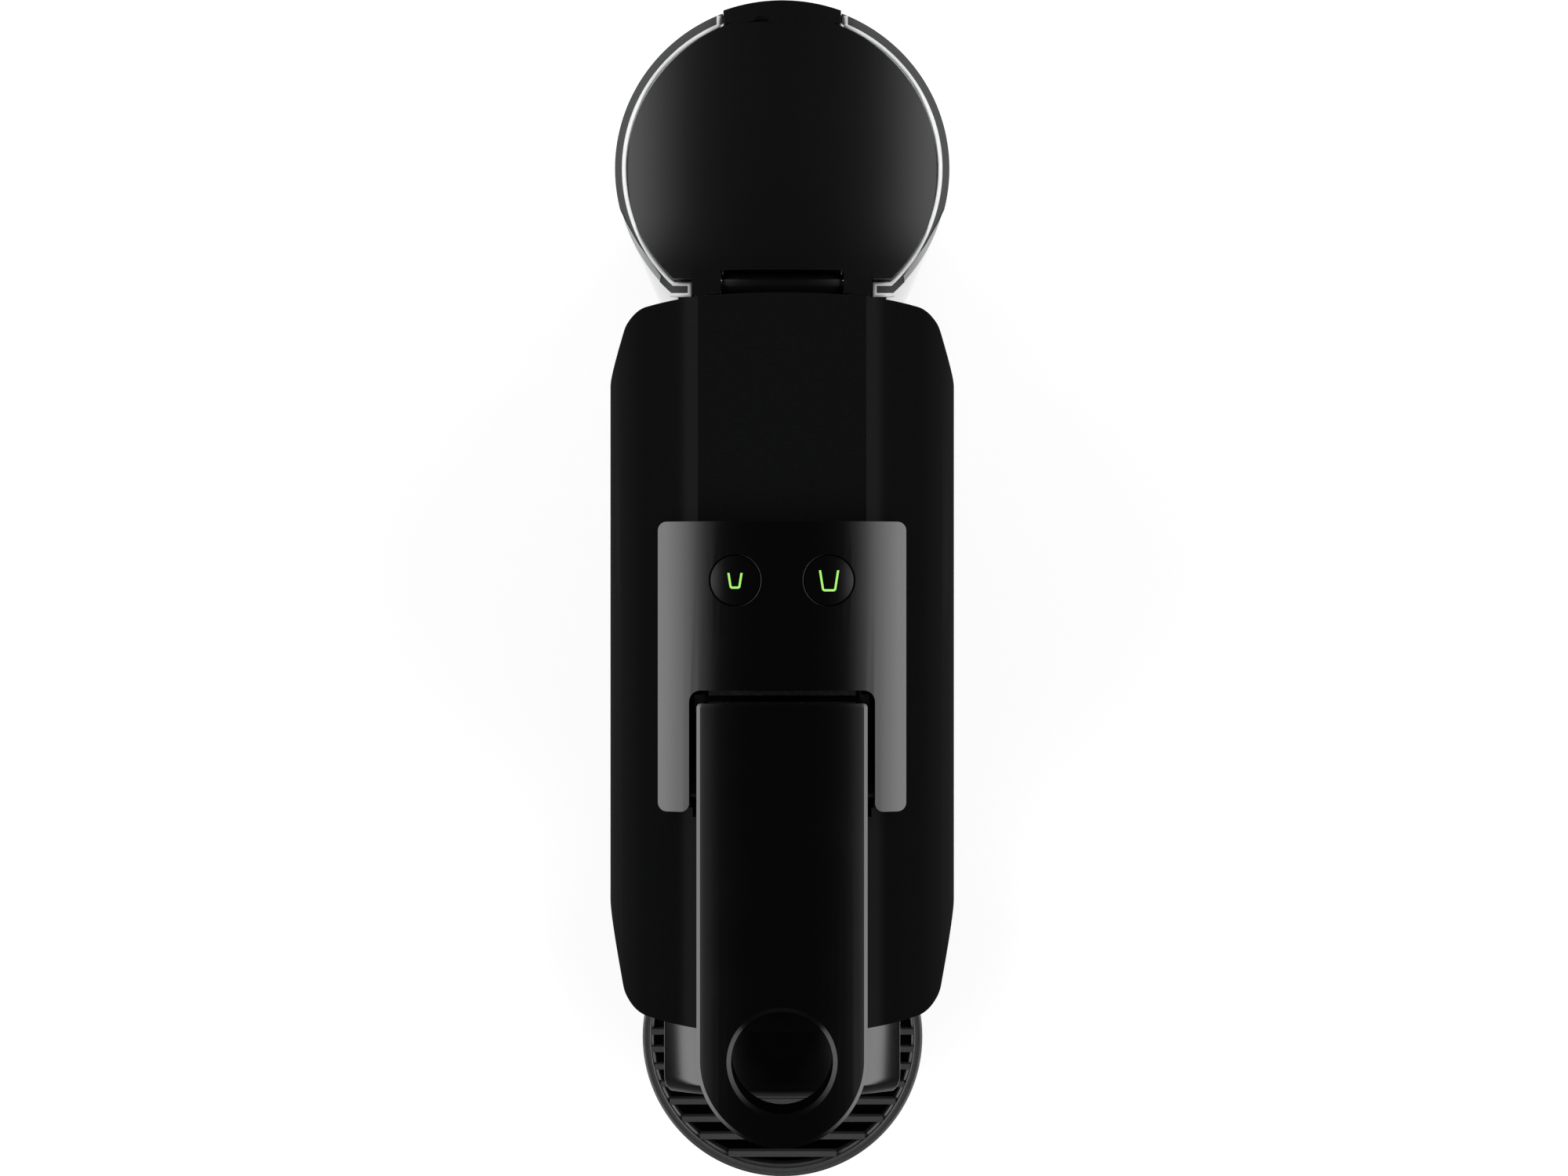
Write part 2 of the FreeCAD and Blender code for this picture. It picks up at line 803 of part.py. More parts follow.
subPart("chassis", cut(
    "chassis",
    fuse("chassis_solid", *chassisParts),
    rod("axle_bore", "X", "axle_radius + pin_play", both(f"{frameReach} + {beyond}"), (pivotY, pivotZ)),
    rod("feed_bore", "Y", "stub_radius + swing_play",
        (f"{bulkFront} - {beyond}", f"{bulkRear} + {beyond}"), ("0", brewZ)),
))

# Lever handle: hollow beam with a finger hole at its round tip and two crank cheeks
leverHalf = "(lever_width/2)"
tipY = f"({leverRear} - lever_length + lever_width/2)"
leverBeam = newBody("lever_beam")
leverPlan = sketchIn(leverBeam, "plan", "XY", leverBottom)
drawOutline(leverPlan, [
    (leverHalf, leverRear),
    (f"-{leverHalf}", leverRear),
    (f"-{leverHalf}", tipY, "-lever_width/2 - pin_play/1000"),
    (leverHalf, tipY),
])
leverPad = pad(leverBeam, leverPlan, "lever_thickness")
leverInner = f"({leverHalf} - lever_wall)"
hollowFront = f"({tipY} + finger_rim)"
hollowSketch = sketchIn(leverBeam, "hollow", "XY", leverBottom)
drawOutline(hollowSketch, [
    (leverInner, f"{leverRear} - lever_wall"),
    (f"-{leverInner}", f"{leverRear} - lever_wall"),
    (f"-{leverInner}", hollowFront),
    (leverInner, hollowFront),
])
pocket(leverBeam, hollowSketch, "lever_thickness - lever_skin")
fingerSketch = sketchIn(leverBeam, "finger", "XY", leverBottom)
drawCircle(fingerSketch, ("0", tipY), "finger_radius")
fingerPocket = pocket(leverBeam, fingerSketch, "lever_thickness")
leverCrest = num(leverTop)
fillet(leverBeam, fingerPocket, "edges", "lever_edge",
       lambda edge: edge.BoundBox.ZMin > leverCrest - 0.01)
cheekOutline = [
    (f"{pivotY} - cheek_length/2", f"{leverTop} - lever_skin"),
    (f"{pivotY} - cheek_length/2", f"{pivotZ} - ear_radius"),
    (f"{pinY} - crank_eye", f"{pinZ} - crank_eye/2"),
    (f"{pinY} - crank_eye/2", f"{pinZ} - crank_eye"),
    (f"{pinY} + crank_eye/2", f"{pinZ} - crank_eye"),
    (f"{pinY} + crank_eye", f"{pinZ} + crank_eye/2"),
    (f"{pivotY} + cheek_length/2", f"{leverTop} - lever_skin"),
]
cheekInner = "(cheek_outer - cheek_thickness)"
leverSolid = fuse(
    "lever_solid",
    leverBeam,
    extrude("cheek_left", "YZ", cheekOutline, ("-cheek_outer", f"-{cheekInner}")),
    extrude("cheek_right", "YZ", cheekOutline, (cheekInner, "cheek_outer")),
)
subPart("lever_handle", cut(
    "lever_handle",
    leverSolid,
    rod("cheek_axle_bore", "X", "axle_radius + pin_play", both(f"cheek_outer + {beyond}"),
        (pivotY, pivotZ)),
    rod("cheek_pin_bore", "X", "crank_pin_radius + pin_play", both(f"cheek_outer + {beyond}"),
        (pinY, pinZ)),
))
subPart("lever_axle", rod("lever_axle", "X", "axle_radius", both(frameReach), (pivotY, pivotZ)))
subPart("crank_pins", group(
    "crank_pins",
    rod("crank_pin_left", "X", "crank_pin_radius", ("-rail_outer", f"-{cheekInner}"), (pinY, pinZ)),
    rod("crank_pin_right", "X", "crank_pin_radius", (cheekInner, "rail_outer"), (pinY, pinZ)),
))

# Capsule holder: front plate, rails and slotted yokes
holderParts = [
    box("holder_plate", both("holder_half + pin_play + rail_thickness/2"), (holderFront, holderFace),
        (f"{brewZ} - holder_drop", f"{brewZ} + holder_rise")),
]
yokeRear = f"({pinY} + yoke_length/2)"
yokeCuts = []
for side, name in (("-1", "left"), ("1", "right")):
    plate = ("rail_outer - rail_thickness", "rail_outer")
    if side == "-1":
        plate = (f"-({plate[1]})", f"-({plate[0]})")
    holderParts += [
        box(f"rail_{name}", plate, (holderFront, yokeRear), (railBottom, f"{railBottom} + rail_height")),
        box(f"yoke_{name}", plate, (f"{pinY} - yoke_length/2", yokeRear),
            (railBottom, f"{railBottom} + yoke_height")),
    ]
slotSide = "(crank_pin_radius + yoke_slot_play)"
yokeSlot = box("yoke_slot", both(f"rail_outer + {beyond}"),
    (f"{pinY} - {slotSide}", f"{pinY} + {slotSide}"),
               (f"{railBottom} + yoke_slot_base", f"{railBottom} + yoke_slot_base + yoke_slot_height"))
recessFloor = f"({holderFace} - pyramid_thickness)"
subPart("capsule_holder", cut(
    "capsule_holder",
    fuse("holder_solid", *holderParts),
    yokeSlot,
    rod("pyramid_seat", "Y", "pyramid_radius + pin_play", (recessFloor, f"{holderFace} + {beyond}"),
        ("0", brewZ)),
    rod("holder_drain", "Z", "drain_radius", (f"{brewZ} - holder_drop - {beyond}", brewZ),
        ("0", f"{holderFace} - holder_thickness/2")),
    rod("holder_feed", "Y", "feed_radius", (f"{holderFace} - holder_thickness/2", holderFace),
        ("0", f"{brewZ} - feed_radius - pin_play")),
))
pyramidHoles = [
    rod(f"pyramid_hole_{column}_{line}", "Y", "pyramid_hole",
        (f"{recessFloor} - {beyond}", f"{holderFace} + {beyond}"),
        (f"{column}*pyramid_pitch", f"{brewZ} + {line}*pyramid_pitch"))
    for column in (-2, -1, 0, 1, 2)
    for line in (-2, -1, 0, 1, 2)
]
subPart("pyramid_plate", cut(
    "pyramid_plate",
    rod("pyramid_disc", "Y", "pyramid_radius", (recessFloor, holderFace), ("0", brewZ)),
    *pyramidHoles,
))

# Injector head with its needles and seal
recessY = f"({injectorFace} + injector_recess)"
subPart("injector_head", cut(
    "injector_head",
    rod("injector_block", "Y", "injector_radius", (injectorFace, bulkFront), ("0", brewZ)),
    rod("injector_hollow", "Y", "injector_radius - injector_rim", (f"{injectorFace} - {beyond}", recessY),
        ("0", brewZ)),
    rod("injector_inlet", "Y", "stub_radius + pin_play",
        (f"{bulkFront} - stub_length", f"{bulkFront} + {beyond}"),
        ("0", brewZ)),
))
needleSpots = [
    ("needle_circle", brewZ),
    ("-needle_circle/2", f"{brewZ} + needle_circle*sqrt(3)/2"),
    ("-needle_circle/2", f"{brewZ} - needle_circle*sqrt(3)/2"),
]
needles = []
for index, (x, z) in enumerate(needleSpots):
    needle = doc.addObject("Part::Cone", f"needle_{index}")
    bind(needle, "Radius1", "needle_radius")
    bind(needle, "Radius2", "needle_radius/4")
    bind(needle, "Height", "needle_length")
    needle.Placement = Placement(Vector(), Rotation(Vector(1, 0, 0), 90))
    put(needle, x, recessY, z)
    needles.append(needle)
subPart("injector_needles", group("injector_needles", *needles))
sealY = (f"{injectorFace} - seal_height", injectorFace)
sealOuter = "(injector_radius - seal_width/2)"
subPart("injector_seal", cut(
    "injector_seal",
    rod("seal_disc", "Y", sealOuter, sealY, ("0", brewZ)),
    rod("seal_bore", "Y", f"{sealOuter} - seal_width", (f"{sealY[0]} - {beyond}", f"{sealY[1]} + {beyond}"),
        ("0", brewZ)),
))

# Control panel: arched cap that sits on the casing and takes the buttons
panelEnds = (f"{panelFront} - {beyond}", f"{panelRear} + {beyond}")
panelHalf = "(panel_width/2)"
notchHalf = "(notch_width/2)"
panelBase = "shoulder_height"
panelPlan = newBody("panel_plan")
panelSketch = sketchIn(panelPlan, "plan", "XY", panelBase)
drawOutline(panelSketch, [
    (f"-{panelHalf}", panelFront),
    (f"-{notchHalf}", panelFront),
    (f"-{notchHalf}", notchY),
    (notchHalf, notchY),
    (notchHalf, panelFront),
    (panelHalf, panelFront),
    (panelHalf, panelRear),
    (f"-{panelHalf}", panelRear),
])
panelPad = pad(panelPlan, panelSketch, f"{panelTop} + {beyond} - {panelBase}")
fillet(panelPlan, panelPad, "corners", "panel_corner", upright)
panelShape = common(
    "panel_shape", panelPlan,
    archedBar("panel_arch", f"{panelHalf} + {beyond}", panelTop, "panel_curve", panelBase, panelEnds),
)
panelHollow = common(
    "panel_hollow",
    box("panel_room", both(f"{panelHalf} - panel_wall"),
        (f"{notchY} + panel_wall", f"{panelRear} - panel_wall"),
        (panelBase, panelTop)),
    archedBar("panel_room_arch", f"{panelHalf} + {beyond}", f"({panelTop} - panel_wall)",
              "(panel_curve - panel_wall)", panelBase, panelEnds),
)
panelCuts = [caseOuter, panelHollow]
panelCuts.append(box(
    "ear_room", both("frame_half + frame_thickness + swing_play"),
    (f"{pivotY} - ear_length/2 - swing_play", f"{pivotY} + ear_length/2 + swing_play"),
    (panelBase, f"{pivotZ} + ear_radius + seat_play"),
))
for label, x in buttonSpots.items():
    panelCuts.append(rod(f"{label}_button_port", "Z", "button_radius + button_play",
                         (panelBase, f"{panelTop} + {beyond}"), (x, buttonY)))
subPart("control_panel", cut("control_panel", panelShape, *panelCuts))

# Buttons with inlaid cup symbols
stemBottom = f"({boardTop} + switch_height + plunger_height + button_travel + seat_play)"
flangeTop = f"({panelTop} - panel_wall - button_flange_drop + panel_wall)"
for label, x in buttonSpots.items():
    wide = f"({label}_symbol_width/2)"
    tall = f"({label}_symbol_height/2)"
    stroke = "symbol_stroke"
    top = f"({buttonY} + {tall})"
    bottom = f"({buttonY} - {tall})"
    cup = [
        (f"{x} - {wide}", top),
        (f"{x} - {wide} + symbol_taper", bottom),
        (f"{x} + {wide} - symbol_taper", bottom),
        (f"{x} + {wide}", top),
        (f"{x} + {wide} - {stroke}", top),
        (f"{x} + {wide} - symbol_taper - {stroke}", f"{bottom} + {stroke}"),
        (f"{x} - {wide} + symbol_taper + {stroke}", f"{bottom} + {stroke}"),
        (f"{x} - {wide} + {stroke}", top),
    ]
    level = f"({panelTop} - panel_curve + sqrt(panel_curve^2 - (button_spacing/2)^2) - symbol_depth)"
    surface = archedBar(f"{label}_button_arch", f"{panelHalf} + {beyond}", panelTop, "panel_curve",
                        panelBase, panelEnds)
    cap = common(
        f"{label}_cap",
        rod(f"{label}_cap_rod", "Z", "button_radius",
            (f"{flangeTop} - button_flange_height", f"{panelTop}"),
            (x, buttonY)),
        surface,
    )
    button = fuse(
        f"{label}_button_solid", cap,
        rod(f"{label}_flange", "Z", "button_radius + button_flange",
            (f"{flangeTop} - button_flange_height", flangeTop), (x, buttonY)),
        rod(f"{label}_stem", "Z", "stem_radius", (stemBottom, flangeTop), (x, buttonY)),
    )
    cupSeat = extrude(f"{label}_cup_seat", "XY", cup, (level, f"{panelTop} + {beyond}"))
    subPart(f"{label}_cup_button", cut(f"{label}_cup_button", button, cupSeat))
    cupFill = extrude(f"{label}_cup_fill", "XY", cup, (level, f"{panelTop} + {beyond}"))
    subPart(f"{label}_cup_symbol", common(f"{label}_cup_symbol", cupFill, surface))

# Control board under the casing's top
boardCuts = [
    rod(f"board_hole_{index}", "Z", "board_screw_radius + pin_play",
        (f"{boardBottom} - {beyond}", f"{boardTop} + {beyond}"), (x, y))
    for index, (x, y) in enumerate(postSpots)
]
boardSlab = box("board_slab", both("board_width/2"), (boardFront, boardRear), (boardBottom, boardTop))
subPart("control_board", cut("control_board", boardSlab, *boardCuts))
subPart("board_screws", group("board_screws", *[
    fuse(
        f"board_screw_{index}",
        rod(f"board_head_{index}", "Z", "board_screw_head",
            (f"{boardBottom} - board_screw_cap", boardBottom), (x, y)),
        rod(f"board_shank_{index}", "Z", "board_screw_radius",
            (f"{boardBottom} - board_screw_cap", f"{boardTop} + board_screw_length - seat_play"), (x, y)),
    )
    for index, (x, y) in enumerate(postSpots)
]))
switchTop = f"({boardTop} + switch_height)"
subPart("tact_switches", group("tact_switches", *[
    fuse(
        f"{label}_switch",
        box(f"{label}_switch_case", (f"{x} - switch_side/2", f"{x} + switch_side/2"),
            (f"{buttonY} - switch_side/2", f"{buttonY} + switch_side/2"), (boardTop, switchTop)),
        rod(f"{label}_plunger", "Z", "plunger_radius", (switchTop, f"{switchTop} + plunger_height"),
            (x, buttonY)),
    )
    for label, x in buttonSpots.items()
]))
subPart("status_lights", group("status_lights", *[
    rod(f"{label}_light", "Z", "light_radius", (boardTop, f"{boardTop} + light_height"),
        (x, f"{buttonY} + light_offset"))
    for label, x in buttonSpots.items()
]))


# Front cover, coffee funnel and spout
def snoutProfile(inset):
    half = f"(snout_width/2 - {inset})"
    bend = f"(snout_round - {inset})"
    crest = f"({snoutTop} - {inset})"
    curve = f"(snout_curve - {inset})"
    inner = f"({half} - {bend})"
    edge = f"({crest} - {curve} + sqrt({curve}^2 - {inner}^2))"
    return [
        (f"-{half}", f"{snoutBottom} + {inset}"),
        (half, f"{snoutBottom} + {inset}"),
        (half, f"{edge} - {bend}", f"-{bend}*1.0001"),
        (inner, edge, f"-{curve}"),
        (f"-{inner}", edge, f"-{bend}*1.0001"),
        (f"-{half}", f"{edge} - {bend}"),
    ]


snoutRear = f"{binFront} + {beyond}"
subPart("front_cover", cut(
    "front_cover",
    extrude("snout_solid", "XZ", snoutProfile("0"), (snoutFront, "-body_front + end_bulge + wall")),
    extrude("snout_room", "XZ", snoutProfile("snout_wall"), (f"{snoutFront} + snout_wall", snoutRear)),
    common(
        "snout_seat",
        planSolid("snout_plan", "0", "corner_round", ("0", "body_top")),
        archSolid("snout_arch", "0", caseEnds),
    ),
    rod("spout_port", "Z", "spout_radius + pin_play",
        (f"{snoutBottom} - {beyond}", f"{snoutFloor} + {beyond}"),
        ("0", spoutY)),
))
funnelBottom = f"({snoutFloor} + seat_play)"
funnelTop = f"({funnelBottom} + funnel_height)"
funnelFront = f"({snoutFront} + snout_wall + funnel_front_gap)"
funnelRear = f"({holderFace} - funnel_lip)"
subPart("coffee_funnel", cut(
    "coffee_funnel",
    box("funnel_block", both("funnel_half"), (funnelFront, funnelRear), (funnelBottom, funnelTop)),
    extrude("funnel_room", "YZ", [
        (f"{funnelFront} + funnel_wall", f"{funnelBottom} + funnel_wall"),
        (f"{funnelRear} - funnel_wall", f"{funnelBottom} + funnel_wall + funnel_fall"),
        (f"{funnelRear} - funnel_wall", f"{funnelTop} + {beyond}"),
        (f"{funnelFront} + funnel_wall", f"{funnelTop} + {beyond}"),
    ], both("funnel_half - funnel_wall")),
    rod("funnel_drain", "Z", "spout_bore", (f"{funnelBottom} - {beyond}", f"{funnelTop}"), ("0", spoutY)),
))
flangeZ = f"({snoutBottom} - spout_flange_height)"
subPart("coffee_spout", lathe("coffee_spout", [
    ("spout_bore", f"{snoutBottom} - spout_length"),
    ("spout_radius - funnel_wall/2", f"{snoutBottom} - spout_length"),
    ("spout_radius", flangeZ),
    ("spout_flange", flangeZ),
    ("spout_flange", snoutBottom),
    ("spout_radius", snoutBottom),
    ("spout_radius", snoutFloor),
    ("spout_bore", snoutFloor),
], "0", spoutY))

# Drip tray with its sled, drip grid and capsule bin
trayInner = f"({trayRadius} - tray_wall)"
subPart("drip_tray", fuse(
    "drip_tray",
    lathe("tray_drum", [
        ("0", trayBottom),
        (trayRadius, trayBottom),
        (trayRadius, trayTop),
        (trayInner, trayTop),
        (trayInner, f"{trayBottom} + tray_floor"),
        ("0", f"{trayBottom} + tray_floor"),
    ], "0", trayY),
    box("tray_sled", both("sled_half"), (f"{trayY} + {trayRadius} - 2*tray_wall", binRear),
        (trayBottom, sledTop)),
))
barReach = f"({trayRadius} - grid_rim/2)"
gridBars = [
    box(
        f"grid_bar_{index}", both(trayRadius),
        (f"{trayY} + bar_offset + {index - int(num('bar_count')) // 2}*bar_pitch - bar_width/2",
         f"{trayY} + bar_offset + {index - int(num('bar_count')) // 2}*bar_pitch + bar_width/2"),
        (f"{gridTop} - bar_height", gridTop),
    )
    for index in range(int(num("bar_count")))
]
gridSkirt = f"({trayInner} - button_play)"
gridRing = lathe("grid_ring", [
    (f"{trayRadius} - grid_rim", trayTop),
    (f"{gridSkirt} - grid_skirt", trayTop),
    (f"{gridSkirt} - grid_skirt", f"{trayTop} - grid_skirt_height"),
    (gridSkirt, f"{trayTop} - grid_skirt_height"),
    (gridSkirt, trayTop),
    (trayRadius, trayTop),
    (trayRadius, gridTop),
    (f"{trayRadius} - grid_rim", gridTop),
], "0", trayY)
subPart("drip_grid", fuse(
    "drip_grid",
    gridRing,
    common(
        "grid_bars",
        fuse("grid_bar_rows", *gridBars),
        rod("grid_disc", "Z", f"{gridSkirt} - pin_play", (f"{gridTop} - bar_height", gridTop),
            ("0", trayY)),
    ),
))
faceFront = "(-body_front + face_depth)"
faceBottom = f"({gridTop} + face_gap)"
binSolid = fuse(
    "bin_solid",
    box("bin_box", both("bin_half"), (binFront, binRear), (sledTop, binTop)),
    cut(
        "bin_face",
        box("bin_face_block", both("face_half"), (faceFront, f"{binFront} + bin_wall"),
            (faceBottom, faceTop)),
        rod("bin_scoop", "Z", f"{trayRadius} + scoop_gap",
            (f"{faceBottom} - {beyond}", f"{faceTop} + {beyond}"),
            ("0", trayY)),
    ),
)
subPart("capsule_bin", cut(
    "capsule_bin",
    binSolid,
    box("bin_room", both("bin_half - bin_wall"), (f"{binFront} + bin_wall", f"{binRear} - bin_wall"),
        (f"{sledTop} + bin_wall", f"{faceTop} + {beyond}")),
))


# Water tank, dock, valve and lid
def tankSolid(name, radius, front, ends):
    disc = rod(f"{name}_disc", "Z", radius, ends, ("0", tankY))
    room = box(f"{name}_room", both(f"({radius}) + {beyond}"),
        (front, f"{tankY} + {radius} + {beyond}"), ends)
    return common(name, disc, room)


tankRoom = tankSolid("tank_room", tankInner, f"({tankFront} + tank_wall)",
                     (f"{tankBottom} + tank_floor", f"{tankRim} + {beyond}"))
notchDown = f"({tankRim} - hinge_notch)"
tankShell = cut(
    "tank_shell",
    tankSolid("tank_outer", tankRadius, tankFront, (tankBottom, tankRim)),
    tankRoom,
    box("hinge_gap", both("hinge_half + knuckle_gap"),
        (f"{tankFront} - {beyond}", f"{hingeY} + knuckle_radius + {beyond}"),
        (notchDown, f"{tankRim} + {beyond}")),
    box("tab_gap", both("tab_half + lid_gap"), (tankY, f"{tankY} + {tankRadius} + {beyond}"),
        (f"{tankRim} - tab_drop", f"{tankRim} + {beyond}")),
)
knuckle = fuse(
    "tank_knuckle",
    rod("knuckle_barrel", "X", "knuckle_radius", both("knuckle_half"), (hingeY, tankRim)),
    box("knuckle_web", both("knuckle_half"), (tankFront, f"{tankFront} + tank_wall"),
        (f"{notchDown} - {beyond}", f"{tankRim} - knuckle_radius/3")),
)
subPart("water_tank", cut(
    "water_tank",
    fuse("tank_solid", tankShell, knuckle),
    rod("knuckle_bore", "X", "hinge_pin_radius + pin_play", both(f"hinge_half + {beyond}"),
        (hingeY, tankRim)),
    rod("valve_port", "Z", "valve_radius + pin_play",
        (f"{tankBottom} - {beyond}", f"{valveTop} + {beyond}"),
        ("0", valveY)),
))

lidEnds = (tankFront, f"{tankY} + {tankRadius} + {beyond}")
lidFront = f"({hingeY} + lid_setback)"
lidRadius = f"({tankInner} - lid_gap)"
lidLow = f"({tankRim} - lid_skirt)"
lidPlan = fuse(
    "lid_plan",
    tankSolid("lid_disc", lidRadius, lidFront, (lidLow, f"{lidTop} + {beyond}")),
    common(
        "lid_tab",
        box("lid_tab_block", both("tab_half"), (tankY, lidEnds[1]),
            (f"{tankRim} - tab_drop + lid_gap", f"{lidTop} + {beyond}")),
        rod("lid_tab_disc", "Z", tankRadius, (lidLow, f"{lidTop} + {beyond}"), ("0", tankY)),
    ),
)
lidSolid = common(
    "lid_solid", lidPlan,
    archedBar("lid_arch", f"{tankRadius} + {beyond}", lidTop, "lid_curve", f"{lidLow} - {beyond}", lidEnds),
)
skirtInner = f"({lidRadius} - lid_skirt_wall)"
lidRoom = common(
    "lid_room",
    rod("lid_room_disc", "Z", skirtInner, (f"{lidLow} - {beyond}", lidTop), ("0", tankY)),
    archedBar("lid_room_arch", f"{tankRadius} + {beyond}", f"({lidTop} - lid_thickness)",
              "(lid_curve - lid_thickness)", f"{lidLow} - 2*{beyond}", (f"{tankFront} - {beyond}",
                  lidEnds[1])),
)
lidShell = cut(
    "lid_shell", lidSolid, lidRoom,
    box("lid_hinge_gap", both("hinge_half + knuckle_gap"),
        (tankFront, f"{hingeY} + knuckle_radius + knuckle_gap"), (f"{lidLow} - {beyond}",
            f"{lidTop} + {beyond}")),
    box("lid_front_gap", both(tankRadius), (tankFront, f"{lidFront} + knuckle_radius"),
        (f"{lidLow} - {beyond}", f"{tankRim} - {beyond}/2")),
)
lidLinks = []
for side, name in (("-1", "left"), ("1", "right")):
    span = ("knuckle_half + knuckle_gap", "hinge_half")
    if side == "-1":
        span = (f"-({span[1]})", f"-({span[0]})")
    lidLinks.append(rod(f"lid_knuckle_{name}", "X", "knuckle_radius", span, (hingeY, tankRim)))
    lidLinks.append(box(
        f"lid_web_{name}", span, (hingeY, f"{hingeY} + 2*knuckle_radius"),
        (f"{tankRim} + lid_gap", f"{tankRim} + knuckle_radius - pin_play"),
    ))
subPart("tank_lid", cut(
    "tank_lid",
    fuse("lid_linked", lidShell, *lidLinks),
    rod("lid_pin_bore", "X", "hinge_pin_radius + pin_play", both(f"hinge_half + {beyond}"),
        (hingeY, tankRim)),
))
subPart("lid_hinge_pin", rod("lid_hinge_pin", "X", "hinge_pin_radius", both("hinge_half"),
    (hingeY, tankRim)))

flangeHigh = f"({valveTop} + valve_flange_height)"
valveShell = lathe("valve_shell", [
    ("valve_bore", valveBottom),
    ("valve_radius", valveBottom),
    ("valve_radius", valveTop),
    ("valve_flange", valveTop),
    ("valve_flange", flangeHigh),
    ("valve_bore", flangeHigh),
], "0", valveY)
webZ = (f"{valveTop} - valve_web/2", f"{valveTop} + valve_web/2")
valveWeb = cut(
    "valve_web",
    rod("valve_web_disc", "Z", "valve_bore + pin_play", webZ, ("0", valveY)),
    rod("valve_web_bore", "Z", "poppet_stem + swing_play",
        (f"{webZ[0]} - {beyond}", f"{webZ[1]} + {beyond}"),
        ("0", valveY)),
    *[
        rod(f"valve_web_port_{index}", "Z", "poppet_stem/2",
            (f"{webZ[0]} - {beyond}", f"{webZ[1]} + {beyond}"),
            (x, y))
        for index, (x, y) in enumerate([
            ("2*poppet_stem", valveY),
            ("-2*poppet_stem", valveY),
        ])
    ],
)
subPart("valve_body", fuse("valve_body", valveShell, valveWeb))
ringZ = (f"{tankBottom} - seal_ring_drop - seal_ring_height", f"{tankBottom} - seal_ring_drop")
subPart("valve_seal", cut(
    "valve_seal",
    rod("valve_seal_disc", "Z", "valve_radius + seal_ring", ringZ, ("0", valveY)),
    rod("valve_seal_bore", "Z", "valve_radius + pin_play",
        (f"{ringZ[0]} - {beyond}", f"{ringZ[1]} + {beyond}"),
        ("0", valveY)),
))
poppetSeat = f"({flangeHigh} + seat_play)"
collarBottom = f"({poppetSeat} - poppet_length)"
collarTop = f"({collarBottom} + collar_height)"
subPart("valve_poppet", lathe("valve_poppet", [
    ("0", collarBottom),
    ("collar_radius", collarBottom),
    ("collar_radius", collarTop),
    ("poppet_stem", collarTop),
    ("poppet_stem", poppetSeat),
    ("poppet_radius", poppetSeat),
    ("poppet_radius", f"{poppetSeat} + poppet_height"),
    ("0", f"{poppetSeat} + poppet_height"),
], "0", valveY))
springRadius = num("spring_radius")
springWire = num("spring_wire")
springTurns = int(num("spring_turns"))
springFoot = f"({collarTop} + spring_wire + pin_play)"
springPitch = num(f"{webZ[0]} - spring_wire - pin_play - {springFoot}") / springTurns


def springPoint(turn):
    angle = 2 * math.pi * turn
    return Vector(springRadius * math.cos(angle), springRadius * math.sin(angle), springPitch * turn)


def springWay(turn):
    angle = 2 * math.pi * turn
    way = Vector(-math.sin(angle), math.cos(angle), springPitch / (2 * math.pi * springRadius))
    return way.normalize()


def kneeArc(start, knee, end):
    # Arc whose end tangents meet at the knee
    middle = (start + end) / 2
    rise = knee - middle
    bend = math.atan2(rise.Length, (end - middle).Length)
    return Part.Arc(start, middle + rise * (math.tan(bend / 2) / math.tan(bend)), end).toShape()


def arcPair(start, startWay, end, endWay):
    # Two arcs that meet smoothly between two points with given tangents
    span = end - start
    ways = startWay + endWay
    spread = 4 - ways.dot(ways)
    reach = (math.sqrt(span.dot(ways) ** 2 + span.dot(span) * spread) - span.dot(ways)) / spread
    joint = (start + startWay * reach + end - endWay * reach) / 2
    return [kneeArc(start, start + startWay * reach, joint), kneeArc(joint, end - endWay * reach, end)]


quarters = [quarter / 4 for quarter in range(4 * springTurns + 1)]
springArcs = []
for turn, nextTurn in zip(quarters, quarters[1:]):
    springArcs += arcPair(springPoint(turn), springWay(turn), springPoint(nextTurn), springWay(nextTurn))
springEnd = Part.Wire(Part.makeCircle(springWire, springPoint(0), springWay(0)))
spring = doc.addObject("Part::Feature", "valve_spring")
spring.Shape = Part.Wire(springArcs).makePipeShell([springEnd], True, False)
spring.Placement = Placement(Vector(0, num(valveY), num(springFoot)), Rotation())
springGaps = [
    (springPoint(turn) - springPoint(other)).Length - 2 * springWire
    for turn in quarters for other in quarters if other - turn > 0.5
]
print("least gap between the spring's turns, mm:", round(min(springGaps), 2))
subPart("valve_spring", spring)

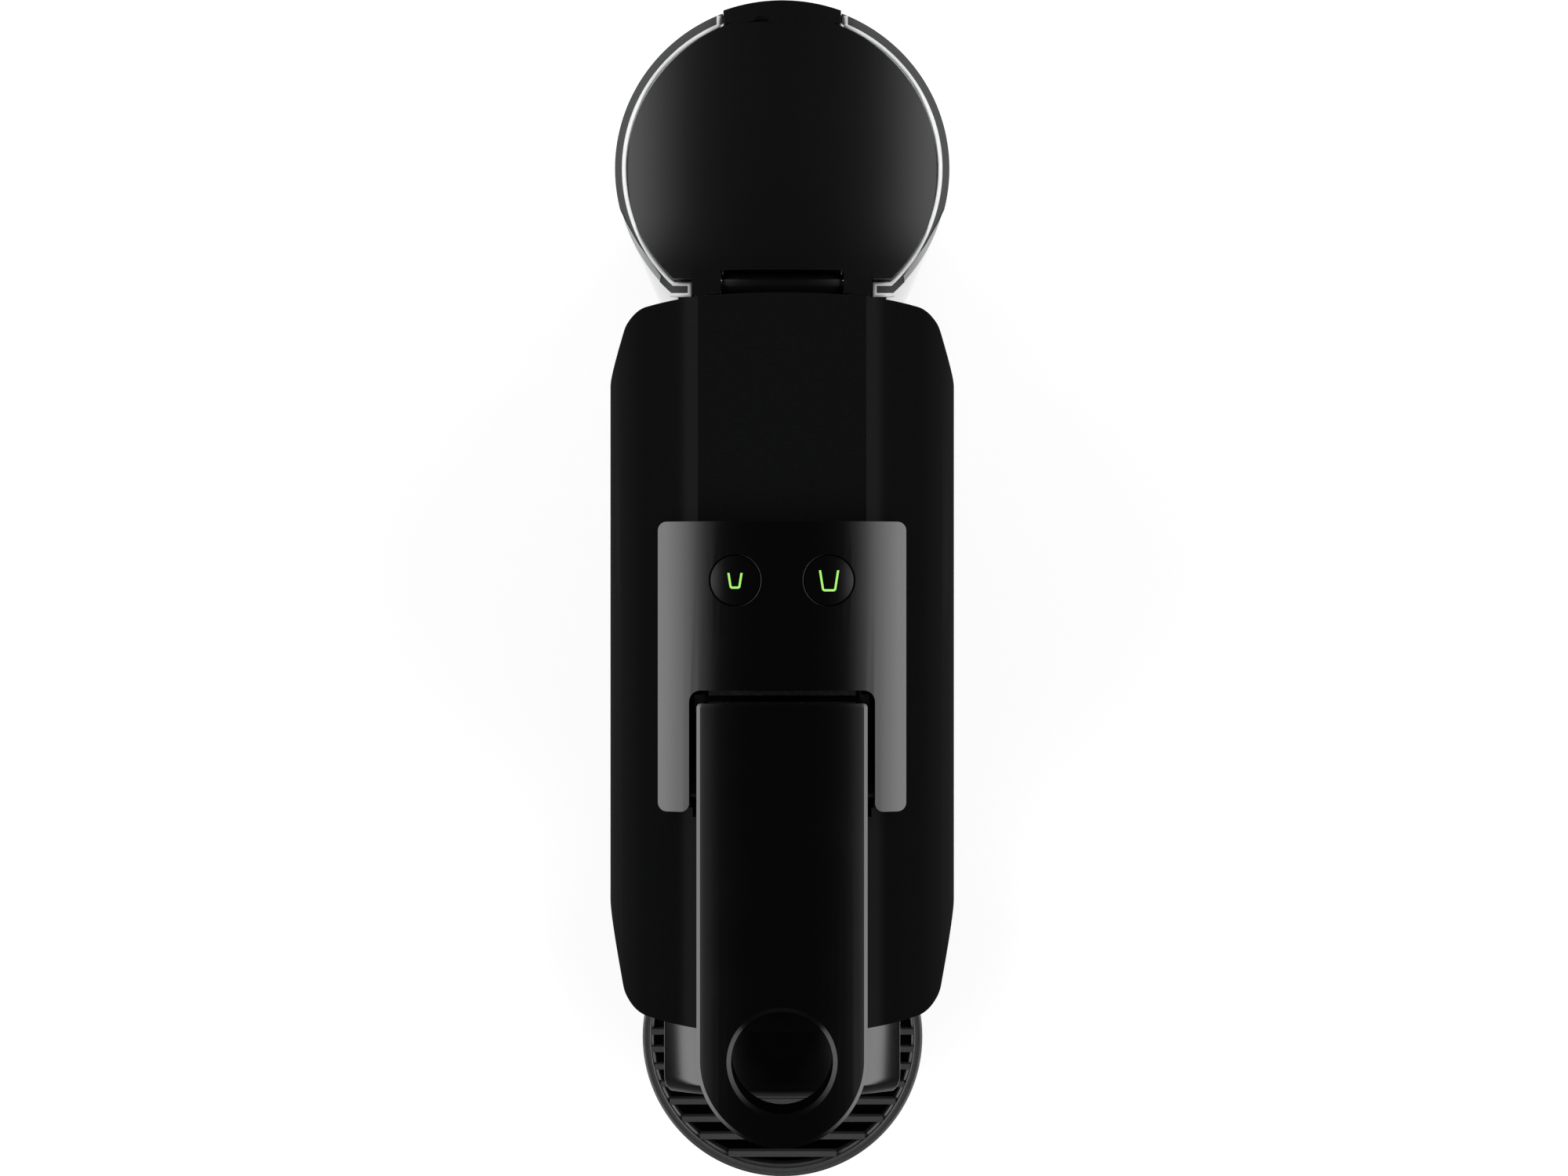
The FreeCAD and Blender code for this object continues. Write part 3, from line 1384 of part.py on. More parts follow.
socketBore = "(valve_radius + seal_ring + button_play)"
socketBottom = f"({valveBottom} - nipple_gap)"
socketZ = (socketBottom, dockTop)
dockDrum = fuse(
    "dock_drum",
    cut(
        "dock_shell",
        tankSolid("dock_outer", tankRadius, tankFront, (baseTop, dockTop)),
        tankSolid("dock_room", f"{tankRadius} - dock_wall", f"({tankFront} + dock_wall)",
                  (f"{baseTop} - {beyond}", f"{dockTop} - dock_wall")),
    ),
    rod("dock_socket", "Z", f"{socketBore} + socket_wall", (f"{socketBottom} - socket_wall", dockTop),
        ("0", valveY)),
)
dockRear = f"({tankY} + {tankRadius})"
glandZ = f"({baseTop} + gland_rise)"
subPart("tank_dock", cut(
    "tank_dock",
    dockDrum,
    rod("socket_bore", "Z", socketBore, (socketBottom, f"{dockTop} + {beyond}"), ("0", valveY)),
    rod("nipple_port", "Y", "nipple_radius + pin_play", (f"{tankFront} - {beyond}", valveY), ("0", meterZ)),
    rod("gland_port", "Y", "gland_radius + pin_play",
        (f"{dockRear} - gland_length - 2*{beyond}", f"{dockRear} + {beyond}"),
        ("0", glandZ)),
))
glandY = (f"{dockRear} - gland_length", f"{dockRear} - seat_play")
subPart("cord_gland", cut(
    "cord_gland",
    rod("gland_bush", "Y", "gland_radius", glandY, ("0", glandZ)),
    rod("gland_hole", "Y", "gland_bore", (f"{glandY[0]} - {beyond}", f"{glandY[1]} + {beyond}"),
        ("0", glandZ)),
))
nippleFront = f"({tankFront} - tank_gap/2)"
nippleTube = cut(
    "nipple_tube",
    rod("nipple_rod", "Y", "nipple_radius", (nippleFront, f"{valveY} - {socketBore}"), ("0", meterZ)),
    rod("nipple_hole", "Y", "nipple_bore", (f"{nippleFront} - {beyond}", f"{valveY}"), ("0", meterZ)),
)
subPart("inlet_nipple", nippleTube)

# Water path: flow meter, hoses and pump
stubInner = "stub_bore"
meterParts = [
    rod("meter_drum", "Z", "meter_radius", (baseTop, f"{baseTop} + meter_height"), ("0", meterY)),
    rod("meter_inlet", "Y", "stub_radius", (meterY, f"{meterY} + meter_radius + stub_length"),
        ("0", meterZ)),
    rod("meter_outlet", "Y", "stub_radius", (f"{meterY} - meter_radius - stub_length", meterY),
        ("0", meterZ)),
]
subPart("flow_meter", cut(
    "flow_meter",
    fuse("meter_solid", *meterParts),
    rod("meter_bore", "Y", stubInner,
        (f"{meterY} - meter_radius - stub_length - {beyond}",
            f"{meterY} + meter_radius + stub_length + {beyond}"),
        ("0", meterZ)),
    rod("meter_room", "Z", "meter_radius - 2*hose_wall",
        (f"{baseTop} + 2*hose_wall", f"{baseTop} + meter_height - 2*hose_wall"),
        ("0", meterY)),
))
hoseInner = "(stub_radius + pin_play)"
hoseOuter = "(stub_radius + hose_wall)"
suctionEnds = (f"{meterY} + meter_radius + pin_play", f"{nippleFront} + tank_gap/2 - seat_play")
subPart("suction_hose", cut(
    "suction_hose",
    rod("suction_rod", "Y", hoseOuter, suctionEnds, ("0", meterZ)),
    rod("suction_bore", "Y", hoseInner, (f"{suctionEnds[0]} - {beyond}", f"{suctionEnds[1]} + {beyond}"),
        ("0", meterZ)),
))

pumpInlet = f"({baseTop} + pump_base - stub_length)"
subPart("pump_body", lathe("pump_body", [
    (stubInner, pumpInlet),
    ("stub_radius", pumpInlet),
    ("stub_radius", f"{baseTop} + pump_base"),
    ("pump_radius", f"{baseTop} + pump_base"),
    ("pump_radius", pumpTop),
    ("stub_radius", pumpTop),
    ("stub_radius", f"{pumpTop} + stub_length"),
    (stubInner, f"{pumpTop} + stub_length"),
], "0", pumpY))
coilY = (f"{pumpY} - coil_half", f"{pumpY} + coil_half")
coilTop = f"({coilBottom} + coil_height)"
subPart("pump_coil", cut(
    "pump_coil",
    box("coil_block", both("coil_half"), coilY, (coilBottom, coilTop)),
    rod("coil_bore", "Z", "pump_radius + pin_play", (f"{coilBottom} - {beyond}", f"{coilTop} + {beyond}"),
        ("0", pumpY)),
))
bracketZ = (f"{coilBottom} + bracket_base", f"{coilBottom} + bracket_base + bracket_height")
bracketY = (bulkRear, f"{bulkRear} + bracket_thickness")
subPart("pump_bracket", box("pump_bracket", both("bracket_half"), bracketY, bracketZ))
mountZ = f"({coilBottom} + coil_height/2)"
subPart("pump_mounts", group("pump_mounts", *[
    rod(f"pump_mount_{index}", "Y", "mount_radius", (bracketY[1], coilY[0]),
        (f"{side}*mount_spread/2", mountZ))
    for index, side in enumerate(("-1", "1"))
]))

# Pump hose: level run from the flow meter, a quarter bend and a rise to the pump
hoseStart = num(f"{meterY} - meter_radius - pin_play")
hoseLevel = num(meterZ)
hoseTurn = num("hose_bend")
hoseY = num(pumpY)
riseTop = num(f"{baseTop} + pump_base - pin_play")
bendStart = Vector(0, hoseY + hoseTurn, hoseLevel)
bendEnd = Vector(0, hoseY, hoseLevel + hoseTurn)
bendMid = Vector(0, hoseY + hoseTurn * (1 - math.sin(math.pi / 4)),
    hoseLevel + hoseTurn * (1 - math.cos(math.pi / 4)))


def hoseRun(radius):
    mouth = Vector(0, hoseStart, hoseLevel)
    level = Part.makeCylinder(radius, hoseStart - bendStart.y, mouth, Vector(0, -1, 0))
    path = Part.Wire(Part.Arc(bendStart, bendMid, bendEnd).toShape())
    ring = Part.Wire(Part.makeCircle(radius, bendStart, Vector(0, -1, 0)))
    bend = path.makePipeShell([ring], True, True)
    rise = Part.makeCylinder(radius, riseTop - bendEnd.z, bendEnd, Vector(0, 0, 1))
    return level.fuse([bend, rise]).removeSplitter()


pumpHose = doc.addObject("Part::Feature", "pump_hose")
pumpHose.Shape = hoseRun(num(hoseOuter)).cut(hoseRun(num(hoseInner)))
subPart("pump_hose", pumpHose)

# Thermoblock, its fuse and blades, and the pressure hose
slotStep = "heater_slot_pitch"
heaterSlots = [
    box(
        f"heater_slot_{index}", both(f"heater_half + {beyond}"),
        (f"{heaterRear} - heater_slot_depth", f"{heaterRear} + {beyond}"),
        (f"{heaterBottom} + {index + 0.5}*{slotStep}",
            f"{heaterBottom} + {index + 0.5}*{slotStep} + heater_slot"),
    )
    for index in range(int(num("heater_slots")))
]
feedEnds = (f"{bulkFront} - stub_length + pin_play", bulkRear)
heaterSolid = fuse(
    "heater_solid",
    cut(
        "heater_block",
        box("heater_box", both("heater_half"), (bulkRear, heaterRear), (heaterBottom, heaterTop)),
        *heaterSlots,
    ),
    rod("heater_outlet", "Y", "stub_radius", feedEnds, ("0", brewZ)),
    rod("heater_inlet", "Z", "stub_radius", (f"{heaterBottom} - stub_length", heaterBottom), ("0", pumpY)),
)
subPart("thermoblock", cut(
    "thermoblock",
    heaterSolid,
    rod("heater_outlet_bore", "Y", stubInner, (f"{feedEnds[0]} - {beyond}", pumpY), ("0", brewZ)),
    rod("heater_inlet_bore", "Z", stubInner, (f"{heaterBottom} - stub_length - {beyond}", brewZ),
        ("0", pumpY)),
))
fuseMid = f"({bulkRear} + heater_length/2)"
subPart("thermal_fuse", box(
    "thermal_fuse", both("fuse_length/2"), (f"{fuseMid} - fuse_radius", f"{fuseMid} + fuse_radius"),
    (heaterTop, f"{heaterTop} + fuse_radius"),
))
bladeY = (heaterRear, f"{heaterRear} + blade_length")
bladeZ = f"({heaterBottom} + 2*{slotStep})"
subPart("heater_terminals", group("heater_terminals", *[
    box(f"heater_blade_{index}", (f"{side}*blade_spread - blade_half",
        f"{side}*blade_spread + blade_half"), bladeY,
        (f"{bladeZ} - blade_thickness/2", f"{bladeZ} + blade_thickness/2"))
    for index, side in enumerate(("-1", "1"))
]))
pressureZ = (f"{pumpTop} + pin_play", f"{heaterBottom} - pin_play")
subPart("pressure_hose", cut(
    "pressure_hose",
    rod("pressure_rod", "Z", hoseOuter, pressureZ, ("0", pumpY)),
    rod("pressure_bore", "Z", hoseInner, (f"{pressureZ[0]} - {beyond}", f"{pressureZ[1]} + {beyond}"),
        ("0", pumpY)),
))
blockX = "(body_width/2 - wall - block_gap)"
blockY = (f"{meterY} - block_length/2", f"{meterY} + block_length/2")
subPart("terminal_block", box(
    "terminal_block", (f"{blockX} - block_width", blockX), blockY,
    (baseTop, f"{baseTop} + block_height"),
))

doc.recompute()
faults = [item.Label for item in doc.Objects if {"Invalid", "Error"} & set(item.State)]
faults += [item.Label for item in subParts if item.Shape.isNull() or not item.Shape.isValid()]
if faults:
    raise RuntimeError(f"faulty objects: {faults}")
os.makedirs("parts", exist_ok=True)
for item in subParts:
    item.Shape.exportStep(f"parts/{item.Label}.step")
    print(item.Label, len(item.Shape.Solids), round(item.Shape.Volume, 1))
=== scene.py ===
import json
from math import atan2, cos, pi, radians, sin, sqrt, tan

import bmesh
import bpy
from mathutils import Matrix, Vector


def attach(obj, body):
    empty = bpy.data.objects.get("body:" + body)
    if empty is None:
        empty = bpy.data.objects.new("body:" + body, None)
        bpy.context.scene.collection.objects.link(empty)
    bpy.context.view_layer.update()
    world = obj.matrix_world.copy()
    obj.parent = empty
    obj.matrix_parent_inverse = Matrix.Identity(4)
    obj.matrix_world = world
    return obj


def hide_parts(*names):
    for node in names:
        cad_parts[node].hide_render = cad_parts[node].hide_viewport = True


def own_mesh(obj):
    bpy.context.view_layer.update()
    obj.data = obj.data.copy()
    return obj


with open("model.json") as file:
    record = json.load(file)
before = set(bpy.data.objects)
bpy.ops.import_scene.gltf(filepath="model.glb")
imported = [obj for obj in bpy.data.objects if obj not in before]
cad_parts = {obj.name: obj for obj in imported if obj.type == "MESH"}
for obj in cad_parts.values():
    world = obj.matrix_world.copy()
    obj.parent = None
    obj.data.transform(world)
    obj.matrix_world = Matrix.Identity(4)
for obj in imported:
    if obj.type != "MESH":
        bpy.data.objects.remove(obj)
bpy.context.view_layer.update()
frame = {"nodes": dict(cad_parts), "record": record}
print("frame loaded")

# shared tools: meshes are drawn in millimetres and brought to metres at the end;
# the last names, from hair to long, are distances for picking points
shop = dict(
    toMetres=0.001, merge=0.002, pole=0.01, profile=0.5, normalWeight=70, sharpAngle=34, cornerAngle=40,
    hardAngle=50, level=0.9, steep=0.1, hair=0.001, close=0.01, touch=0.02, near=0.1, wide=1.0,
    long=20.0,
)
alongX, alongY, alongZ = Vector((1, 0, 0)), Vector((0, 1, 0)), Vector((0, 0, 1))
bothSides = (-1, 1)
ops = bmesh.ops


def vertsOf(made):
    return [item for item in made if isinstance(item, bmesh.types.BMVert)]


def allOf(bm):
    return bm.verts[:] + bm.edges[:] + bm.faces[:]


def openEdges(bm):
    return [edge for edge in bm.edges if edge.is_boundary]


def above(bm, height):
    return [vert for vert in bm.verts if vert.co.z > height]


def pick(settings, names):
    return [settings[name] for name in names.split()]


def meshFrom(bm, name):
    # the drawing is used up
    mesh = bpy.data.meshes.new(name)
    bm.to_mesh(mesh)
    bm.free()
    return mesh


def placed(name, data):
    thing = bpy.data.objects.new(name, data)
    bpy.context.collection.objects.link(thing)
    return thing


def addStep(piece, name, kind, **settings):
    step = piece.modifiers.new(name, kind)
    for label, value in settings.items():
        setattr(step, label, value)


def pieceFrom(bm, name, body, slotName, nodes=(), sharpAngle=shop["sharpAngle"], material=None):
    # the finish is the slot's own unless another is given
    ops.remove_doubles(bm, verts=bm.verts, dist=shop["merge"])
    ops.dissolve_degenerate(bm, edges=bm.edges, dist=shop["merge"])
    ops.recalc_face_normals(bm, faces=bm.faces)
    scale = shop["toMetres"]
    ops.scale(bm, vec=(scale, scale, scale), verts=bm.verts)
    mesh = meshFrom(bm, name)
    mesh.materials.append(material or finishBySlot[slotName])
    mesh.shade_smooth()
    mesh.set_sharp_from_angle(angle=radians(sharpAngle))
    piece = placed(name, mesh)
    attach(piece, body)
    if nodes:
        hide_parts(*nodes)
    return piece


def evenNormals(piece):
    # keeps flat faces flat beside their rounded edges
    addStep(piece, "normals", "WEIGHTED_NORMAL", keep_sharp=True, weight=shop["normalWeight"])


def scratch(bm):
    return placed("scratch", meshFrom(bm, "scratch"))


def carve(bm, *cutters, way="DIFFERENCE"):
    # takes the cutters away from the closed mesh, or keeps only what they share
    ops.recalc_face_normals(bm, faces=bm.faces)
    body = scratch(bm)
    tools = []
    for cutter in cutters:
        ops.recalc_face_normals(cutter, faces=cutter.faces)
        tools.append(scratch(cutter))
        addStep(body, "carve", "BOOLEAN", operation=way, solver="EXACT", object=tools[-1])
    bpy.context.view_layer.update()
    carved = bpy.data.meshes.new_from_object(body.evaluated_get(bpy.context.evaluated_depsgraph_get()))
    result = bmesh.new()
    result.from_mesh(carved)
    bpy.data.meshes.remove(carved)
    for thing in [body] + tools:
        mesh = thing.data
        bpy.data.objects.remove(thing)
        bpy.data.meshes.remove(mesh)
    return result


def joinTo(bm, other):
    # adds a second mesh, which is used up
    joined = meshFrom(other, "scratch")
    bm.from_mesh(joined)
    bpy.data.meshes.remove(joined)


def block(bm, low, high):
    made = ops.create_cube(bm, size=1)["verts"]
    size = [b - a for a, b in zip(low, high)]
    middle = [(a + b) / 2 for a, b in zip(low, high)]
    ops.scale(bm, vec=size, verts=made)
    ops.translate(bm, vec=middle, verts=made)
    return made


def newBlock(low, high):
    bm = bmesh.new()
    block(bm, low, high)
    return bm


def rod(bm, radius, start, end, segments):
    start, end = Vector(start), Vector(end)
    turn = (end - start).to_track_quat("Z", "Y").to_matrix().to_4x4()
    ops.create_cone(
        bm, cap_ends=True, segments=segments, radius1=radius, radius2=radius,
        depth=(end - start).length, matrix=Matrix.Translation((start + end) / 2) @ turn)


def post(bm, radius, spot, levels, segments):
    low, high = levels
    rod(bm, radius, (*spot, low), (*spot, high), segments)


def newPost(*terms):
    bm = bmesh.new()
    post(bm, *terms)
    return bm


def lathe(bm, profile, centre, steps):
    # profile of (radius, height) pairs turned about an upright axis
    verts = [bm.verts.new((centre[0] + r, centre[1], z)) for r, z in profile]
    edges = [bm.edges.new(pair) for pair in zip(verts, verts[1:] + verts[:1])]
    ops.spin(bm, geom=verts + edges, cent=(centre[0], centre[1], 0), axis=alongZ,
             angle=2 * pi, steps=steps, use_merge=True)


def outline(bm, points, height):
    bm.faces.new([bm.verts.new((x, y, height)) for x, y in points])


def roundCorners(bm, corners, radius, segments):
    # arcs of the same radius whatever the corner's angle
    for vert in corners:
        first, second = [edge.other_vert(vert).co - vert.co for edge in vert.link_edges]
        reach = radius / tan(first.angle(second) / 2)
        ops.bevel(bm, geom=[vert], offset=reach, offset_type="ABSOLUTE", segments=segments,
                  profile=shop["profile"], affect="VERTICES", material=-1, clamp_overlap=True)


def roundEdges(bm, picks, width, segments):
    edges = [edge for edge in bm.edges if len(edge.link_faces) == 2 and picks(edge)]
    ops.bevel(bm, geom=edges, offset=width, offset_type="OFFSET", segments=segments,
              profile=shop["profile"], affect="EDGES", material=-1, clamp_overlap=True)


def corner(edge, least=shop["hardAngle"]):
    return edge.calc_face_angle(0) > radians(least)


def upright(edge):
    return abs(edge.verts[0].co.z - edge.verts[1].co.z) > shop["long"]


def middleOf(edge):
    return (edge.verts[0].co + edge.verts[1].co) / 2


def roundAbove(bm, level, width, segments, least=shop["hardAngle"]):
    roundEdges(bm, lambda edge: corner(edge, least) and middleOf(edge).z > level, width, segments)


def roundBelow(bm, level, width, segments):
    roundEdges(bm, lambda edge: corner(edge) and middleOf(edge).z < level, width, segments)


def pull(bm, way, faces=None):
    # draws flat faces out into a solid
    made = ops.extrude_face_region(bm, geom=faces or bm.faces[:])["geom"]
    ops.translate(bm, vec=way, verts=vertsOf(made))


def drawOut(bm, edges, way):
    # draws a strip from the edges
    made = ops.extrude_edge_only(bm, edges=edges)["geom"]
    ops.translate(bm, vec=way, verts=vertsOf(made))
    return made


def capEnds(bm, level):
    # closes the open rims above and below the level
    ends = openEdges(bm)
    for upper in (False, True):
        ops.contextual_create(bm, geom=[edge for edge in ends if (middleOf(edge).z > level) == upper])


def lift(bm, height):
    pull(bm, alongZ * height)


def cutAcross(bm, spot, way, clear=False):
    ops.bisect_plane(bm, geom=allOf(bm), plane_co=spot, plane_no=way, clear_inner=clear)


def slices(bm, low, high, step, way=alongX):
    count = round((high - low) / step)
    for index in range(count + 1):
        cutAcross(bm, way * (low + (high - low) * index / count), way)


def arch(verts, radius):
    # bends a level sheet down at both sides
    for vert in verts:
        vert.co.z -= radius - sqrt(radius ** 2 - min(abs(vert.co.x), radius) ** 2)


def spinOn(bm, vert, centre, axis, angle, steps):
    # draws an arc from the point and gives the arc's end
    spun = ops.spin(bm, geom=[vert], cent=centre, axis=axis, angle=angle, steps=steps)
    return vertsOf(spun["geom_last"])[0]


def growLoop(bm, edges, along, spread=1.0, tall=1.0, base=0.0):
    # next ring of a lofted skin: moved along Y and drawn in about its base
    made = drawOut(bm, edges, alongY * along)
    ops.scale(bm, vec=(spread, 1, tall), verts=vertsOf(made), space=Matrix.Translation((0, 0, -base)))
    return [item for item in made if isinstance(item, bmesh.types.BMEdge)]


def mirrored(bm, mergeGap=shop["merge"]):
    ops.mirror(bm, geom=allOf(bm), axis="X", merge_dist=mergeGap)


def openPort(bm, low, high):
    # removes the skin inside a box, after cutting along the box's sides
    def reaches(face, axis):
        spots = [vert.co[axis] for vert in face.verts]
        return min(spots) <= high[axis] and max(spots) >= low[axis]

    for axis, way in enumerate((alongX, alongY, alongZ)):
        for level in (low[axis], high[axis]):
            near = [face for face in bm.faces if all(reaches(face, k) for k in range(3))]
            geom = set(near)
            for face in near:
                geom.update(face.edges)
                geom.update(face.verts)
            ops.bisect_plane(bm, geom=list(geom), plane_co=way * level, plane_no=way)
    inside = [face for face in bm.faces
              if all(low[k] <= face.calc_center_median()[k] <= high[k] for k in range(3))]
    ops.delete(bm, geom=inside, context="FACES")


def addWall(piece, thickness, offset=-1):
    deep = thickness * shop["toMetres"]
    addStep(piece, "wall", "SOLIDIFY", thickness=deep, offset=offset, use_even_offset=True)


def addEdges(piece, width, segments, angle, harden=False):
    addStep(piece, "edges", "BEVEL", width=width * shop["toMetres"], segments=segments, limit_method="ANGLE",
            angle_limit=radians(angle), harden_normals=harden)


# finishes
grain = dict(fineDetail=3, patchScale=24, patchDetail=4, middle=0.5)
polish = dict(waveScale=130, waveDetail=1, smearScale=55, smearDetail=6, smearRough=0.62, contrast=4)
brushing = dict(stretch=(40, 1800, 1800), scale=1, detail=3)
mixPlace = dict(factor=0, first=6, second=7, colour=2)  # sockets of a colour mix
glassTint = dict(start=0.62, colour=(0.08, 0.082, 0.084))
white = (1, 1, 1, 1)


def newGroup(name, inputs):
    group = bpy.data.node_groups.new(name, "ShaderNodeTree")
    for label, value in inputs.items():
        socket = group.interface.new_socket(label, in_out="INPUT", socket_type="NodeSocketFloat")
        socket.default_value = value
    for label in ("Roughness", "Height"):
        group.interface.new_socket(label, in_out="OUTPUT", socket_type="NodeSocketFloat")
    coords = addNode(group, "TexCoord").outputs["Object"]
    return group, coords, group.nodes.new("NodeGroupInput").outputs, group.nodes.new("NodeGroupOutput").inputs


def feed(tree, place, term):
    # a socket is linked and a plain value is set
    if isinstance(term, bpy.types.NodeSocket):
        tree.links.new(term, place)
    else:
        place.default_value = term


def fill(tree, node, **terms):
    for label, term in terms.items():
        feed(tree, node.inputs[label.replace("_", " ")], term)


def addNode(tree, kind, **terms):
    node = tree.nodes.new("ShaderNode" + kind)
    fill(tree, node, **terms)
    return node


def noise(tree, **terms):
    return addNode(tree, "TexNoise", **terms).outputs["Fac"]


def reckon(tree, operation, *terms):
    node = addNode(tree, "Math")
    node.operation = operation
    for place, term in zip(node.inputs, terms):
        feed(tree, place, term)
    return node.outputs[0]


def smoothRange(tree, **terms):
    node = addNode(tree, "MapRange", **terms)
    node.interpolation_type = "SMOOTHSTEP"
    return node.outputs["Result"]


def sheen(group, source, sink, term, amount):
    # roughness that varies about the sheen
    feed(group, sink["Roughness"], reckon(group, "MULTIPLY_ADD", term, source[amount], source["Sheen"]))


def makeGrain():
    # fine moulded texture with slow patches of sheen
    group, coords, source, sink = newGroup("mouldedGrain", {"Scale": 2600.0, "Sheen": 0.42, "Spread": 0.05})
    fine = noise(group, Vector=coords, Scale=source["Scale"], Detail=grain["fineDetail"])
    feed(group, sink["Height"], fine)
    slow = noise(group, Vector=coords, Scale=grain["patchScale"], Detail=grain["patchDetail"])
    sheen(group, source, sink, reckon(group, "SUBTRACT", slow, grain["middle"]), "Spread")
    return group


def makePolish():
    # slight waviness and faint smears on polished plastic
    group, coords, source, sink = newGroup("polishedSkin", {"Sheen": 0.05, "Smear": 0.05})
    wave = noise(group, Vector=coords, Scale=polish["waveScale"], Detail=polish["waveDetail"])
    feed(group, sink["Height"], wave)
    smear = noise(group, Vector=coords, Scale=polish["smearScale"], Detail=polish["smearDetail"],
                  Roughness=polish["smearRough"])
    sheen(group, source, sink, reckon(group, "POWER", smear, polish["contrast"]), "Smear")
    return group


def makeBrushing():
    # fine lines along one way
    group, coords, source, sink = newGroup("brushedLines", {"Sheen": 0.3, "Spread": 0.15})
    stretch = addNode(group, "Mapping", Vector=coords, Scale=brushing["stretch"]).outputs["Vector"]
    lines = noise(group, Vector=stretch, Scale=brushing["scale"], Detail=brushing["detail"])
    feed(group, sink["Height"], lines)
    sheen(group, source, sink, lines, "Spread")
    return group


grained, polished, brushed = makeGrain(), makePolish(), makeBrushing()
rampEnds = (0.3, 0.7)


def finish(name, group, values, colour, bump, spread=0.0, deep=0.00005, **sockets):
    # values of the group in its own order, then the relief and how far the colour varies
    material = bpy.data.materials.new(name)
    material.use_nodes = True
    tree = material.node_tree
    shader = tree.nodes["Principled BSDF"]
    skin = addNode(tree, "Group")
    skin.node_tree = group
    for place, value in zip(skin.inputs, values):
        place.default_value = value
    height = skin.outputs["Height"]
    relief = addNode(tree, "Bump", Strength=bump, Distance=deep, Height=height).outputs["Normal"]
    fill(tree, shader, Base_Color=(*colour, 1), Roughness=skin.outputs["Roughness"], Normal=relief, **sockets)
    if spread:
        tint = addNode(tree, "ValToRGB", Fac=height)
        for stop, position, way in zip(tint.color_ramp.elements, rampEnds, bothSides):
            stop.color = (*[min(c * (1 + way * spread), 1) for c in colour], 1)
            stop.position = position
        fill(tree, shader, Base_Color=tint.outputs["Color"])
    return material


def tintGlass(material, start, colour):
    # clear walls turn darker where seen edge on: partly the depth of the plastic, partly painted shade for
    # the dark edges of the clear wall
    tree = material.node_tree
    base = tree.nodes["Principled BSDF"].inputs["Base Color"]
    slant = addNode(tree, "LayerWeight").outputs["Facing"]
    depth = addNode(tree, "MapRange", Value=slant, From_Min=start)
    tint = addNode(tree, "Mix")
    tint.data_type = "RGBA"
    tint.inputs[mixPlace["first"]].default_value = base.default_value
    tint.inputs[mixPlace["second"]].default_value = (*colour, 1)
    feed(tree, tint.inputs[mixPlace["factor"]], depth.outputs["Result"])
    feed(tree, base, tint.outputs[mixPlace["colour"]])


smooth = 0.0001  # depth of the waves in polished plastic
finishBySlot = {
    "satin_black": finish("satinBlack", grained, (2600, 0.4, 0.08), (0.0050, 0.0051, 0.0055), 0.06, 0.2,
                          Specular_IOR_Level=0.0, Coat_Weight=0.038, Coat_Roughness=0.2),
    "gloss_black": finish("glossBlack", polished, (0.15, 0.08), (0.0008, 0.0008, 0.0010), 0.01, deep=smooth),
    "dark_grey": finish("gridGrey", grained, (2200, 0.3, 0.08), (0.045, 0.045, 0.047), 0.06, 0.2,
                        Specular_IOR_Level=0.45),
    "clear_plastic": finish("clearPlastic", polished, (0.02, 0.05), (0.96, 0.972, 0.975), 0.01, deep=smooth,
                            Transmission_Weight=1.0, IOR=1.49),
    "lit_green": finish("litGreen", grained, (3000, 0.4, 0.05), (0.02, 0.05, 0.01), 0.02,
                        Emission_Strength=1.0, Emission_Color=(0.392, 0.871, 0.156, 1)),
    "black_rubber": finish("softRubber", grained, (1800, 0.72, 0.1), (0.012, 0.012, 0.012), 0.25, 0.25),
    "silicone": finish("milkySilicone", grained, (1500, 0.4, 0.1), (0.62, 0.62, 0.6), 0.1, 0.05),
    "white_plastic": finish("plainWhite", grained, (2000, 0.45, 0.08), (0.68, 0.68, 0.66), 0.1, 0.05),
    "inner_plastic": finish("frameGrey", grained, (1800, 0.5, 0.1), (0.045, 0.047, 0.052), 0.2, 0.2),
    "steel": finish("brushedSteel", brushed, (0.2, 0.2), (0.5, 0.5, 0.52), 0.15, Metallic=1.0),
    "cast_aluminium": finish("castAluminium", grained, (900, 0.45, 0.15), (0.55, 0.55, 0.56), 0.3, 0.15,
                             Metallic=1.0),
    "coil_iron": finish("paintedIron", grained, (1200, 0.4, 0.1), (0.02, 0.02, 0.022), 0.2, 0.2),
    "brass": finish("turnedBrass", brushed, (0.22, 0.15), (0.58, 0.4, 0.14), 0.1, Metallic=1.0),
    "board_green": finish("boardGreen", grained, (700, 0.3, 0.1), (0.008, 0.09, 0.03), 0.15, 0.3),
}
finishBySlot["stainless"] = finishBySlot["steel"]
tintGlass(finishBySlot["clear_plastic"], **glassTint)
lidBlack = finish("lidBlack", grained, (3200, 0.24, 0.04), (0.0035, 0.0036, 0.0040), 0.03, 0.15,
                  Specular_IOR_Level=0.32)
# painted shade and painted highlight on the clear tank's rim: the grey finish is painted shade, the pale one
# painted highlight
paintedRimShade = finish("paintedRimShade", polished, (0.2, 0.2), (0.085, 0.086, 0.088), 0.02, deep=smooth)
paintedFlankHighlight = finish("paintedFlankHighlight", polished, (0.3, 0.2), (0.45, 0.455, 0.46), 0.02, deep=smooth)
# painted highlight: white finish for the bright line on the clear tank's rim
paintedRimGlint = finish("paintedRimGlint", grained, (1500, 0.5, 0.05), (0.95, 0.955, 0.955), 0.05, 0.03)
darkSteel = finish("darkSteel", brushed, (0.35, 0.15), (0.012, 0.012, 0.013), 0.1)
for entry in frame["record"]["subparts"]:
    node = frame["nodes"][entry["node"]]
    for place in node.material_slots:
        place.material = finishBySlot[entry["material_slot"]]
frame["nodes"]["lever_axle"].material_slots[0].material = darkSteel
print("finishes ready")

